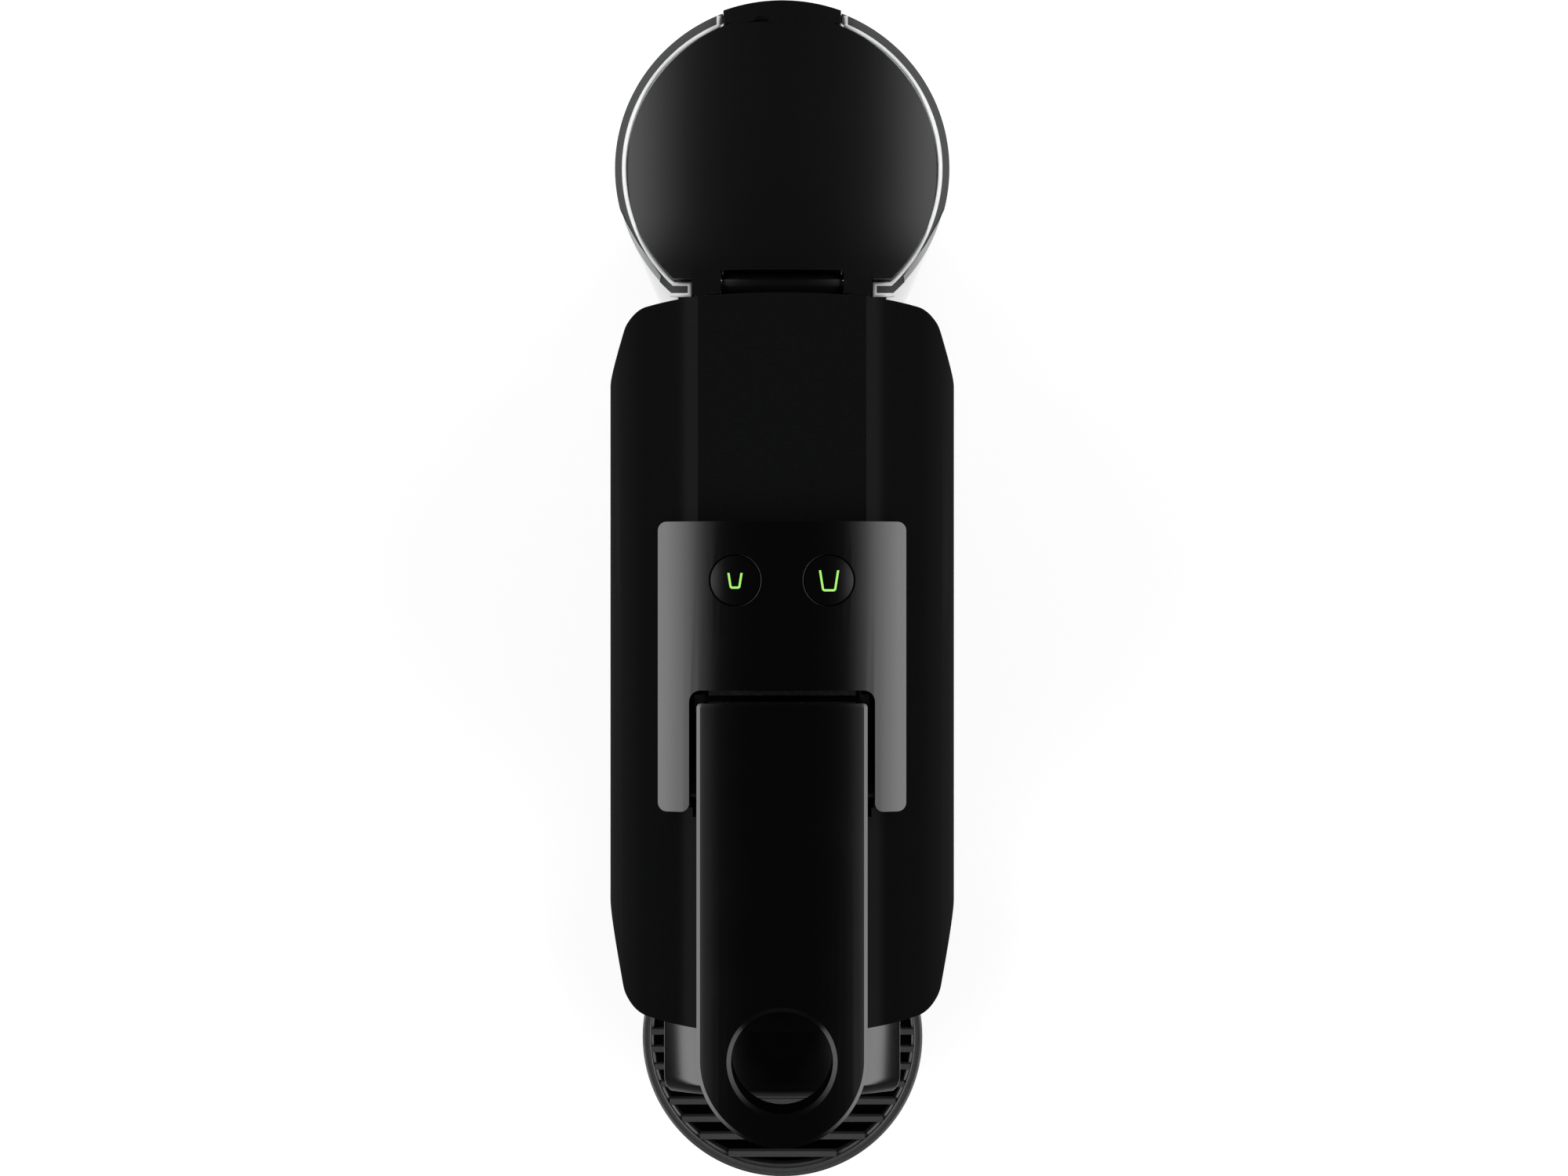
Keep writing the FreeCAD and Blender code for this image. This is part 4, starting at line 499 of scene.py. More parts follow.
# camera and light
cameraSize = dict(height=0.669, along=0.01625, across=0.00045, lens=47.1, sensor=36.0)
cameraData = bpy.data.cameras.new("viewer")
cameraData.lens = cameraSize["lens"]
cameraData.sensor_width = cameraSize["sensor"]
camera = placed("viewer", cameraData)
camera.location = (cameraSize["across"], cameraSize["along"], cameraSize["height"])
bpy.context.scene.camera = camera

lightSize = dict(
    lamps={"sideLeft": -0.756, "sideRight": 0.756}, along=0.02, height=1.14, aim=(0, 0, 0.2),
    size=(2.6, 0.63), power=28.0, fade=(1.0, 0.2),
)
for name, across in lightSize["lamps"].items():
    lampData = bpy.data.lights.new(name, "AREA")
    lampData.shape = "RECTANGLE"
    lampData.size, lampData.size_y = lightSize["size"]
    lampData.energy = lightSize["power"]
    lampData.use_nodes = True
    tree = lampData.node_tree
    place = addNode(tree, "NewGeometry").outputs["Parametric"]
    split = addNode(tree, "SeparateXYZ", Vector=place)
    start, end = lightSize["fade"]  # full over the lower edge, fading out towards the upper one
    fade = smoothRange(tree, Value=split.outputs["Y"], From_Min=start, From_Max=end)
    fill(tree, tree.nodes["Emission"], Strength=fade)
    lamp = placed(name, lampData)
    spot = Vector((across, lightSize["along"], lightSize["height"]))
    lamp.location = spot
    lamp.rotation_euler = (Vector(lightSize["aim"]) - spot).to_track_quat("-Z", "Y").to_euler()

# dark overhead and paler towards the horizon
worldSize = dict(overhead=0.02, horizon=0.3, high=0.57, low=0.1)
world = bpy.data.worlds.new("studio")
world.use_nodes = True
bpy.context.scene.world = world
tree = world.node_tree
way = addNode(tree, "TexCoord").outputs["Object"]
split = addNode(tree, "SeparateXYZ", Vector=way)
rise = smoothRange(tree, Value=split.outputs["Z"], From_Min=worldSize["low"], From_Max=worldSize["high"],
                   To_Min=worldSize["horizon"], To_Max=worldSize["overhead"])
fill(tree, tree.nodes["Background"], Strength=rise, Color=white)

# the floor glows for the camera, for reflections and through clear plastic
floorSize = dict(half=6.0, glow=0.75, farGlow=0.29, near=0.3, far=0.9, paint=(0.4, 0.4, 0.4), roughness=0.9)
floorMesh = bmesh.new()
ops.create_grid(floorMesh, x_segments=1, y_segments=1, size=floorSize["half"])
floorData = meshFrom(floorMesh, "floor")
floor = placed("floor", floorData)
floorPaint = bpy.data.materials.new("floorPaint")
floorPaint.use_nodes = True
tree = floorPaint.node_tree
paint = tree.nodes["Principled BSDF"]
fill(tree, paint, Roughness=floorSize["roughness"], Specular_IOR_Level=0.0, Emission_Color=white,
     Base_Color=(*floorSize["paint"], 1))
rays = addNode(tree, "LightPath").outputs
shown = rays["Is Camera Ray"]
for kind in ("Is Glossy Ray", "Is Transmission Ray"):
    shown = reckon(tree, "MAXIMUM", shown, rays[kind])
away = addNode(tree, "VectorMath")
away.operation = "LENGTH"
feed(tree, away.inputs[0], addNode(tree, "TexCoord").outputs["Object"])
pool = smoothRange(tree, Value=away.outputs["Value"], From_Min=floorSize["near"], From_Max=floorSize["far"],
                   To_Min=floorSize["glow"], To_Max=floorSize["farGlow"])
fill(tree, paint, Emission_Strength=reckon(tree, "MULTIPLY", shown, pool))
floorData.materials.append(floorPaint)
bpy.context.scene.view_settings.view_transform = "Standard"
print("camera and light set")

# casing: the plan and the arch of the body, hollowed
case = dict(
    half=42.5, top=192.0, bottom=5.5, flat=19.6, shoulder=160.0, wall=2.5, arcSteps=30, frontEnd=-87.0,
    rearEnd=85.0, frontTaper=27.0, rearTaper=19.3, frontInset=5.45, rearInset=6.1, bulge=3.0,
    corner=6.0, cornerSteps=12, bowCuts=30, past=20.0, foot=-10.0, over=5.0, edge=(1.2, 3, 45),
    sharpAngle=28,
    ports=(
        ((-19.0, -82.0, 186.0), (19.0, -36.0, 194.0)),  # lever
        ((-20.8, -37.0, 186.0), (20.8, -5.8, 194.0)),  # heel of the lever
        ((-24.8, -34.8, 182.0), (24.8, -26.2, 194.0)),  # ears of the axle
        ((-29.8, -95.0, 0.0), (29.8, -74.0, 110.8)),  # drawer
        ((-21.5, -95.0, 119.0), (21.5, -74.0, 168.0)),  # capsule holder
    ),
)
wide, tall = case["half"] - case["flat"], case["top"] - case["shoulder"]
case["arcRadius"] = (wide ** 2 + tall ** 2) / (2 * wide)
case["arcCentre"] = case["half"] - case["arcRadius"]


def casePlan(inset, low):
    # tapered plan with bowed ends, drawn straight first
    bm = bmesh.new()
    side = case["half"] - inset
    front, rear = side - case["frontInset"], side - case["rearInset"]
    frontY = case["frontEnd"] + case["bulge"] + inset
    rearY = case["rearEnd"] - case["bulge"] - inset
    frontKink, rearKink = case["frontEnd"] + case["frontTaper"], case["rearEnd"] - case["rearTaper"]
    outline(bm, [(-side, frontKink), (-front, frontY), (front, frontY), (side, frontKink),
                 (side, rearKink), (rear, rearY), (-rear, rearY), (-side, rearKink)], low)
    ends = [vert for vert in bm.verts if abs(vert.co.x) < side - shop["wide"]]
    roundCorners(bm, ends, case["corner"] - inset, case["cornerSteps"])
    straight = [edge for edge in bm.edges if abs(edge.verts[0].co.y - edge.verts[1].co.y) < shop["hair"]
                and edge.calc_length() > shop["long"]]
    ops.subdivide_edges(bm, edges=straight, cuts=case["bowCuts"])
    for vert in bm.verts:
        if vert.co.y < frontY + case["corner"]:
            vert.co.y -= case["bulge"] * max(1 - (vert.co.x / front) ** 2, 0)
        if vert.co.y > rearY - case["corner"]:
            vert.co.y += case["bulge"] * max(1 - (vert.co.x / rear) ** 2, 0)
    lift(bm, case["top"] + case["over"] - low)
    return bm


def caseArch(inset):
    # flat top between two rounded shoulders, drawn along the whole length
    bm = bmesh.new()
    start = case["frontEnd"] - case["past"]
    top, radius = case["top"] - inset, case["arcRadius"] - inset
    rise = top - case["shoulder"]
    reach = sqrt(radius ** 2 - rise ** 2)
    crease = bm.verts.new((case["arcCentre"] + reach, start, top))
    ridge = bm.verts.new((0, start, top))
    bm.edges.new((ridge, crease))
    low = spinOn(bm, crease, (case["arcCentre"], start, case["shoulder"]), alongY,
                 pi / 2 - atan2(reach, rise), case["arcSteps"])
    foot = bm.verts.new((low.co.x, start, case["foot"]))
    bm.edges.new((low, foot))
    middle = bm.verts.new((0, start, case["foot"]))
    bm.edges.new((foot, middle))
    mirrored(bm)
    ops.contextual_create(bm, geom=bm.edges[:])
    pull(bm, alongY * (case["rearEnd"] - start + case["past"]))
    return bm


def makeCasing():
    wall = case["wall"]
    outer = carve(casePlan(0, case["bottom"]), caseArch(0), way="INTERSECT")
    inner = carve(casePlan(wall, case["bottom"] - case["over"]), caseArch(wall), way="INTERSECT")
    bm = carve(outer, inner, *[newBlock(*port) for port in case["ports"]])
    piece = pieceFrom(bm, "casing", "machine_body", "satin_black", ["outer_shell"], case["sharpAngle"])
    for edge in piece.data.edges:
        # crease between the flat top and the shoulders
        spots = [piece.data.vertices[index].co / shop["toMetres"] for index in edge.vertices]
        if all(abs(spot.z - case["top"]) < shop["touch"] and abs(abs(spot.x) - case["flat"]) < shop["touch"]
               for spot in spots):
            edge.use_edge_sharp = True
    addEdges(piece, *case["edge"])
    evenNormals(piece)


makeCasing()
print("casing made")

# control panel
panel = dict(
    half=28.6, rear=31.5, front=-35.1, notchHalf=21.3, notch=-7.2, crest=202.0, base=186.0, curve=80.0,
    outerCorner=2.0, innerCorner=2.6, cornerSteps=6, slices=(-28.0, 28.0, 1.75), edge=(0.9, 4),
    edgeAbove=193.0, wall=2.2, roomDrop=2.0, roomSlices=(-26.0, 26.0, 3.25),
    ears=((-24.8, -34.8, 180.0), (24.8, -26.2, 195.7)), buttonX=10.73, buttonY=18.0, hole=5.9,
    holeSegments=72, drill=(180.0, 210.0), holeEdge=(0.35, 2), holeBand=0.15, holeAbove=200.2,
)


def makePanel():
    bm = bmesh.new()
    half, wall, front, rear, notchHalf, notch, crest, base = pick(
        panel, "half wall front rear notchHalf notch crest base")
    outline(bm, [
        (-half, front), (-notchHalf, front), (-notchHalf, notch), (notchHalf, notch), (notchHalf, front),
        (half, front), (half, rear), (-half, rear),
    ], base)
    inner = [vert for vert in bm.verts if abs(vert.co.y - notch) < shop["near"]]
    outer = [vert for vert in bm.verts if vert not in inner]
    roundCorners(bm, inner, panel["innerCorner"], panel["cornerSteps"])
    roundCorners(bm, outer, panel["outerCorner"], panel["cornerSteps"])
    lift(bm, crest - base)
    slices(bm, *panel["slices"])
    arch(above(bm, crest - shop["wide"]), panel["curve"])
    roundAbove(bm, panel["edgeAbove"], *panel["edge"], shop["cornerAngle"])
    spots = [(side * panel["buttonX"], panel["buttonY"]) for side in bothSides]
    holes = [newPost(panel["hole"], spot, panel["drill"], panel["holeSegments"]) for spot in spots]
    room = newBlock((-half + wall, notch + wall, base - panel["roomDrop"]),
                    (half - wall, rear - wall, crest - wall))
    slices(room, *panel["roomSlices"])
    arch(above(room, base), panel["curve"] - wall)
    bm = carve(bm, *holes, room, newBlock(*panel["ears"]))

    def holeEdge(edge):
        spot = middleOf(edge)
        away = sqrt((abs(spot.x) - panel["buttonX"]) ** 2 + (spot.y - panel["buttonY"]) ** 2)
        return abs(away - panel["hole"]) < panel["holeBand"] and spot.z > panel["holeAbove"] and corner(edge)

    roundEdges(bm, holeEdge, *panel["holeEdge"])
    evenNormals(pieceFrom(bm, "panelCap", "machine_body", "gloss_black", ["control_panel"]))


makePanel()
print("panel made")

# buttons with lit cups
button = dict(
    radius=5.6, top=202.0, capSegments=72, sliceReach=5.0, sliceStep=1.0, dome=105.0, domeBand=0.5,
    edge=(0.4, 3), edgeAbove=200.0, flangeTop=197.7, flange=6.4, flangeHeight=1.5, flangeSegments=48,
    stem=2.0, stemEnd=185.3, stemSunk=1.0, stemSegments=24,
    cups={"small": (-1, 3.5, 3.6), "large": (1, 4.65, 4.8)}, cupShift=-0.12, cupDepth=0.8, inlay=0.04,
    stroke=0.5, innerShare=0.8, taper=0.165, round=(0.65, 6), innerRound=(0.2, 4), innerBand=0.05,
)


def makeButton(label):
    side, wide, tall = button["cups"][label]
    x, y = side * panel["buttonX"], panel["buttonY"]
    flangeTop, reach = button["flangeTop"], button["sliceReach"]
    bm = bmesh.new()
    post(bm, button["radius"], (x, y), (flangeTop, button["top"]), button["capSegments"])
    slices(bm, x - reach, x + reach, button["sliceStep"])
    slices(bm, y - reach, y + reach, button["sliceStep"], alongY)
    top = above(bm, button["top"] - button["domeBand"])
    arch(top, panel["curve"])
    for vert in top:
        vert.co.z -= ((vert.co.x - x) ** 2 + (vert.co.y - y) ** 2) / (2 * button["dome"])
    roundAbove(bm, button["edgeAbove"], *button["edge"])
    low, high = flangeTop - button["flangeHeight"], flangeTop - button["stemSunk"]
    post(bm, button["flange"], (x, y), (low, flangeTop), button["flangeSegments"])
    post(bm, button["stem"], (x, y), (button["stemEnd"], high), button["stemSegments"])
    evenNormals(pieceFrom(bm, f"{label}Button", f"{label}_button", "gloss_black", [f"{label}_cup_button"]))

    cup = bmesh.new()
    half, low, high = wide / 2, -tall / 2, tall / 2
    draw, stroke = wide * button["taper"], button["stroke"]
    foot = half - draw - stroke * button["innerShare"]
    outline(cup, [
        (-half, high), (-half + draw, low), (half - draw, low), (half, high),
        (half - stroke, high), (foot, low + stroke), (-foot, low + stroke), (-half + stroke, high),
    ], 0)
    lowest = [vert for vert in cup.verts if vert.co.y < low + shop["near"]]
    roundCorners(cup, lowest, *button["round"])
    inner = [vert for vert in cup.verts if abs(vert.co.y - low - stroke) < button["innerBand"]]
    roundCorners(cup, inner, *button["innerRound"])
    lift(cup, button["cupDepth"])
    spot = (x, y + button["cupShift"], panel["crest"] - button["cupDepth"] + button["inlay"])
    ops.translate(cup, vec=spot, verts=cup.verts)
    arch(cup.verts, panel["curve"])
    pieceFrom(cup, f"{label}Cup", f"{label}_button", "lit_green", [f"{label}_cup_symbol"])


for label in button["cups"]:
    makeButton(label)
print("buttons made")

# lever
lever = dict(
    half=19.5, rear=-10.05, tip=-110.8, bottom=194.5, top=204.0, curve=81.0, tipSteps=40,
    rearCorner=1.0, rearSteps=5, chamfer=(0.8, 0.13), weld=0.02, slices=(-18.0, 18.0, 1.8), hole=11.6,
    holeY=-91.5, holeSteps=120, sinkRise=0.49, sinkWide=1.0, drill=(180.0, 215.0), archBelow=210.0,
    wall=2.6, skin=4.6, hollowFront=-72.5, edge=(0.14, 2), lowEdge=(0.4, 2), rimLow=6.5, sharpAngle=8,
    pivot=(-30.5, 192.5), pin=(-16.4, 175.6), cheek=(16.4, 18.6), cheekTop=201.0, cheekHalf=7.5,
    cheekDrop=3.0, pinHalf=5.0, pinCorner=2.5,
)


def makeLever():
    bm = bmesh.new()
    half, tip, rear, top, bottom = pick(lever, "half tip rear top bottom")
    outline(bm, [(-half, tip), (half, tip), (half, rear), (-half, rear)], bottom)
    middle = (tip + rear) / 2
    tips = [vert for vert in bm.verts if vert.co.y < middle]
    backs = [vert for vert in bm.verts if vert.co.y > middle]
    roundCorners(bm, tips, half - shop["hair"], lever["tipSteps"])
    roundCorners(bm, backs, lever["rearCorner"], lever["rearSteps"])
    lift(bm, top - bottom)
    ops.recalc_face_normals(bm, faces=bm.faces)
    wide, deep = lever["chamfer"]
    flat = [face for face in bm.faces if face.normal.z > shop["level"]]
    ops.inset_region(bm, faces=flat, thickness=wide, use_even_offset=True, use_boundary=True)
    bm.normal_update()
    for vert in above(bm, top - shop["close"]):
        if any(abs(face.normal.z) < shop["steep"] for face in vert.link_faces):
            vert.co.z -= deep
    ops.remove_doubles(bm, verts=bm.verts, dist=lever["weld"])
    ops.dissolve_degenerate(bm, edges=bm.edges, dist=shop["close"])
    slices(bm, *lever["slices"])
    arch(above(bm, top - shop["wide"]), lever["curve"])

    # finger hole with its countersink, and the hollow underside
    hole = bmesh.new()
    radius, rise = lever["hole"], lever["sinkRise"]
    reach = radius + 2 * lever["sinkWide"]
    low, high = lever["drill"]
    lathe(hole, [(shop["pole"], low), (radius, low), (radius, top - rise), (reach, top + rise), (reach, high),
                 (shop["pole"], high)], (0, lever["holeY"]), lever["holeSteps"])
    arch([vert for vert in hole.verts if bottom < vert.co.z < lever["archBelow"]], lever["curve"])
    inner = half - lever["wall"]
    hollow = newBlock((-inner, lever["hollowFront"], low), (inner, rear - lever["wall"], top - lever["skin"]))
    bm = carve(bm, hole, hollow)
    roundAbove(bm, bottom + lever["rimLow"], *lever["edge"])
    roundBelow(bm, bottom + shop["close"], *lever["lowEdge"])

    # cheeks that carry the axle and the crank pins
    pivotY, pivotZ = lever["pivot"]
    pinY, pinZ = lever["pin"]
    inside, outside = lever["cheek"]
    arm, pin, cut = lever["cheekHalf"], lever["pinHalf"], lever["pinCorner"]
    for x in (-outside, inside):
        cheek = bm.faces.new([bm.verts.new((x, y, z)) for y, z in (
            (pivotY - arm, lever["cheekTop"]), (pivotY - arm, pivotZ - lever["cheekDrop"]),
            (pinY - pin, pinZ - cut), (pinY - cut, pinZ - pin), (pinY + cut, pinZ - pin),
            (pinY + pin, pinZ + cut), (pivotY + arm, lever["cheekTop"]))])
        pull(bm, alongX * (outside - inside), [cheek])
    piece = pieceFrom(bm, "leverArm", "lever", "gloss_black", ["lever_handle"], lever["sharpAngle"])
    evenNormals(piece)


makeLever()
print("lever made")

# front cover: arcs as radius, slope and steps
snout = dict(
    half=29.0, bottom=118.0, crest=172.0, front=-107.6, rear=-84.2, wall=2.2, spout=(0, -97.0),
    arcs=((57.0, 29.5, 14), (0.4, 90, 5)), frontArcs=((5.5, 44, 7), (0.25, 90, 4)), lowRound=2.0,
    lowSteps=4, faceRings=(0.7, 0.5, 0.02), rimBand=0.5, rimGap=0.05,
)


def makeSnout():
    bm = bmesh.new()
    rear, half, lowRound = snout["rear"], snout["half"], snout["lowRound"]
    side = bm.verts.new((0, rear, snout["crest"]))
    tilt = 0.0
    for radius, slope, steps in snout["arcs"]:
        centre = (side.co.x - sin(tilt) * radius, rear, side.co.z - cos(tilt) * radius)
        side = spinOn(bm, side, centre, alongY, radians(slope) - tilt, steps)
        tilt = radians(slope)
    low = bm.verts.new((side.co.x, rear, snout["bottom"] + lowRound))
    bm.edges.new((side, low))
    under = spinOn(bm, low, (low.co.x - lowRound, rear, low.co.z), alongY, pi / 2, snout["lowSteps"])
    middle = bm.verts.new((0, rear, snout["bottom"]))
    bm.edges.new((under, middle))
    widest = max(vert.co.x for vert in bm.verts)
    ops.scale(bm, vec=(half / widest, 1, 1), verts=bm.verts)

    # straight to where the front starts to round, then ring by ring
    depth = tilt = 0.0
    for radius, slope, steps in snout["frontArcs"]:
        depth += radius * (sin(radians(slope)) - sin(tilt))
        tilt = radians(slope)
    edges = growLoop(bm, bm.edges[:], snout["front"] + depth - rear)
    base = (snout["crest"] + snout["bottom"]) / 2
    tall = (snout["crest"] - snout["bottom"]) / 2
    drawn = tilt = 0.0
    for radius, slope, steps in snout["frontArcs"]:
        for step in range(steps):
            turn = tilt + (radians(slope) - tilt) / (steps - step)
            inwards = drawn + radius * (cos(tilt) - cos(turn))
            edges = growLoop(bm, edges, -radius * (sin(turn) - sin(tilt)), (half - inwards) / (half - drawn),
                             (tall - inwards) / (tall - drawn), base)
            drawn, tilt = inwards, turn
    for shrink in snout["faceRings"]:
        edges = growLoop(bm, edges, 0, shrink, shrink, base)
    last = list({vert for edge in edges for vert in edge.verts})
    ops.pointmerge(bm, verts=last, merge_co=(0, snout["front"], base))
    for vert in bm.verts:
        # rear rim follows the bow of the casing
        if vert.co.y > rear - snout["rimBand"]:
            bow = case["bulge"] * (vert.co.x / (case["half"] - case["frontInset"])) ** 2
            vert.co.y = case["frontEnd"] + bow + snout["rimGap"]
    mirrored(bm)
    piece = pieceFrom(bm, "snoutShell", "machine_body", "gloss_black", ["front_cover"])
    addWall(piece, snout["wall"])
    evenNormals(piece)


makeSnout()
print("front cover made")

# coffee spout
spout = dict(
    profile=[(3.2, 112), (3.9, 112), (4.2, 112.3), (4.7, 116.4), (6.4, 116.6), (6.6, 116.9),
        (6.6, 117.8), (6.4, 118), (4.8, 118), (4.8, 120.2), (3.2, 120.2), (3.0, 116)],
    steps=64,
)
spoutMesh = bmesh.new()
lathe(spoutMesh, spout["profile"], snout["spout"], spout["steps"])
pieceFrom(spoutMesh, "spoutTip", "machine_body", "gloss_black", ["coffee_spout"])

# drip tray and grid
tray = dict(
    centre=(0, -120.0), radius=42.5, inner=40.3, bottom=5.9, floor=8.4, top=44.0, steps=128,
    lowEdge=2.2, lowSteps=5, lip=0.4, innerLip=0.3, floorEdge=2.0, sledHalf=25.0, sledFront=-81.9,
    sledRear=-16.0, sledTop=7.9,
)


def makeTray():
    bm = bmesh.new()
    radius, inner, top, floorZ, low = pick(tray, "radius inner top floor bottom")
    turns = [pi / 2 * step / tray["lowSteps"] for step in range(tray["lowSteps"] + 1)]
    edge = tray["lowEdge"]
    lathe(bm, [(shop["pole"], low)] + [
        (radius - edge * (1 - sin(turn)), low + edge * (1 - cos(turn))) for turn in turns
    ] + [
        (radius, top - tray["lip"]), (radius - tray["lip"], top), (inner + tray["innerLip"], top),
        (inner, top - tray["innerLip"]), (inner, floorZ + tray["floorEdge"]),
        (inner - tray["floorEdge"], floorZ), (shop["pole"], floorZ),
    ], tray["centre"], tray["steps"])
    half, front, rear, high = pick(tray, "sledHalf sledFront sledRear sledTop")
    block(bm, (-half, front, low), (half, rear, high))
    pieceFrom(bm, "trayDrum", "drawer", "satin_black", ["drip_tray"])


grid = dict(
    rim=[(42.5, 44.0), (42.5, 45.7), (42.45, 45.78), (41.9, 46.0), (41.35, 46.0), (41.2, 45.8),
        (41.0, 45.8), (40.85, 46.0), (40.3, 46.0), (40.05, 45.88), (39.9, 45.6), (39.9, 44.3),
        (39.3, 44.0), (39.3, 40.0), (40.0, 40.0), (40.0, 44.0)],
    steps=128, barWidth=1.8, barHeight=3.0, pitch=5.3, offset=1.4, count=15, reach=40.1, leastHalf=2.0,
    top=46.0, sunk=0.1, edge=(0.3, 3), edgeAbove=45.5, edgeWithin=1.0, sharpAngle=16,
)


def makeGrid():
    bm = bmesh.new()
    thick = grid["barWidth"] / 2
    for index in range(grid["count"]):
        away = grid["offset"] + (index - grid["count"] // 2) * grid["pitch"]
        span = grid["reach"] ** 2 - (abs(away) + thick) ** 2
        if span <= grid["leastHalf"] ** 2:
            continue
        y, half = tray["centre"][1] + away, sqrt(span)
        block(bm, (-half, y - thick, grid["top"] - grid["barHeight"]),
              (half, y + thick, grid["top"] - grid["sunk"]))

    def barEdge(edge):
        spot = middleOf(edge)
        return corner(edge) and spot.z > grid["edgeAbove"] and abs(spot.x) < grid["edgeWithin"]

    roundEdges(bm, barEdge, *grid["edge"])
    lathe(bm, grid["rim"], tray["centre"], grid["steps"])
    pieceFrom(bm, "gridPlate", "grid", "dark_grey", ["drip_grid"], grid["sharpAngle"])


makeTray()
makeGrid()
print("tray and grid made")

# capsule bin with its scooped front
binSize = dict(
    half=24.5, front=-74.0, rear=-16.0, bottom=7.9, top=106.0, wall=1.8, beyond=130.0,
    cornerRound=(4.0, 5), innerRound=(2.2, 5), face=((-29.3, -85.2, 46.8), (29.3, -72.2, 110.0)),
    roomLow=30.0, edge=(0.7, 3), scoop=43.5, scoopZ=(40.0, 120.0), scoopSegments=160,
)


def makeBin():
    half, front, rear, wall, bottom, beyond = pick(binSize, "half front rear wall bottom beyond")
    face = newBlock(*binSize["face"])
    scoop = newPost(binSize["scoop"], tray["centre"], binSize["scoopZ"], binSize["scoopSegments"])
    room = newBlock((-half + wall, front + wall, binSize["roomLow"]), (half - wall, rear, beyond))
    face = carve(face, scoop, room)
    faceTop = binSize["face"][1][2]
    roundAbove(face, faceTop - shop["near"], *binSize["edge"], shop["cornerAngle"])
    cup = newBlock((-half, front, bottom), (half, rear, binSize["top"]))
    hollow = newBlock((-half + wall, front + wall, bottom + wall), (half - wall, rear - wall, beyond))
    roundEdges(cup, upright, *binSize["cornerRound"])
    roundEdges(hollow, upright, *binSize["innerRound"])
    cup = carve(cup, hollow)
    joinTo(cup, face)
    pieceFrom(cup, "binCup", "drawer", "satin_black", ["capsule_bin"])


makeBin()
print("bin made")

# water tank, dock and lid
tank = dict(
    centreY=121.0, radius=41.5, front=89.0, bottom=20.0, rim=156.5, wall=2.3, segments=160,
    cornerAngle=30, cornerRound=(3.0, 6), lowEdge=(3.0, 5), sharpAngle=50,
    rings=(26.0, 140.0, 144.0, 148.5, 153.0), edge=(0.45, 3, 50),
    hingeGap=((-22.6, 80.0, 148.5), (22.6, 93.0, 160.0)),
    tabGap=((-14.9, 150.0, 153.0), (14.9, 170.0, 160.0)), ledge=3.6, rimWide=2.3, rimDeep=0.6,
    rimProud=0.02, rimSpread=1.007, over=5.0,
    flank=((60.0, 112.6), (41.1, 112.6), (38.4, 107.0), (35.5, 101.9), (33.0, 98.6), (30.1, 94.2),
        (31.4, 88.0), (60.0, 88.0)),
    beadRadius=39.58, beadFront=92.2, beadWide=0.95, beadDeep=0.5, beadProud=0.05, beadSteps=72,
    beadTab=15.9, beadTurn=2.5, beadRear=0.985, hookX=23.1, hookFront=89.45, hookReach=28.0,
    hinge=(92.0, 156.5), knuckle=2.8, knuckleHalf=15.0, knuckleSegments=40, knuckleLow=147.5,
    knuckleEdge=(0.4, 2), hingeHalf=22.3, lip=((-15.0, 91.0, 150.0), (15.0, 97.5, 153.0)), valveY=108.0,
)


def roundPlate(bm, radius, centreY, height):
    ops.create_circle(bm, cap_ends=True, segments=tank["segments"], radius=radius,
                      matrix=Matrix.Translation((0, centreY, height)))


def drumSkin(bm, radius, front, low, high):
    # round drum with a flat front, open at the top
    roundPlate(bm, radius, tank["centreY"], low)
    cutAcross(bm, alongY * front, alongY, clear=True)
    drawOut(bm, openEdges(bm), alongZ * (high - low))


def drumBlock(radius, front, low, high):
    bm = bmesh.new()
    drumSkin(bm, radius, front, low, high)
    ops.contextual_create(bm, geom=openEdges(bm))
    return bm


def drawRear(bm, share):
    # draws the rear half of the round in towards the front
    for vert in bm.verts:
        if vert.co.y > tank["centreY"]:
            vert.co.y = tank["centreY"] + (vert.co.y - tank["centreY"]) * share


def makeTank():
    bm = bmesh.new()
    drumSkin(bm, tank["radius"], tank["front"], tank["bottom"], tank["rim"])
    roundEdges(bm, lambda edge: corner(edge, tank["cornerAngle"]) and upright(edge), *tank["cornerRound"])
    roundBelow(bm, tank["bottom"] + shop["near"], *tank["lowEdge"])
    for level in tank["rings"]:
        # even rings below the rim keep the cuts there from marking the clear wall
        cutAcross(bm, alongZ * level, alongZ)
    openPort(bm, *tank["hingeGap"])
    openPort(bm, *tank["tabGap"])
    piece = pieceFrom(bm, "tankShell", "tank", "clear_plastic", ["water_tank"], tank["sharpAngle"])
    addWall(piece, tank["wall"])
    addEdges(piece, *tank["edge"], harden=True)


def makeRim():
    # top of the clear wall painted grey as painted shade, with paler pieces at both flanks as painted
    # highlight
    radius, front, level, over = pick(tank, "radius front rim over")
    rim = drumBlock(radius, front, level - tank["rimDeep"], level + tank["rimProud"])
    inside = drumBlock(radius - tank["rimWide"], front + tank["ledge"], level - over, level + over)
    rim = carve(rim, inside, newBlock(*tank["hingeGap"]), newBlock(*tank["tabGap"]))
    for side, name in zip(bothSides, ("tankFlankLeft", "tankFlankRight")):
        flank = bmesh.new()
        outline(flank, [(side * x, y) for x, y in tank["flank"]], level - over)
        lift(flank, 2 * over)
        pale = carve(rim.copy(), flank.copy(), way="INTERSECT")
        pieceFrom(pale, name, "tank", "clear_plastic", material=paintedFlankHighlight)
        rim = carve(rim, flank)
    ops.scale(rim, vec=(tank["rimSpread"], 1, 1), verts=rim.verts)
    pieceFrom(rim, "tankRim", "tank", "clear_plastic", material=paintedRimShade)


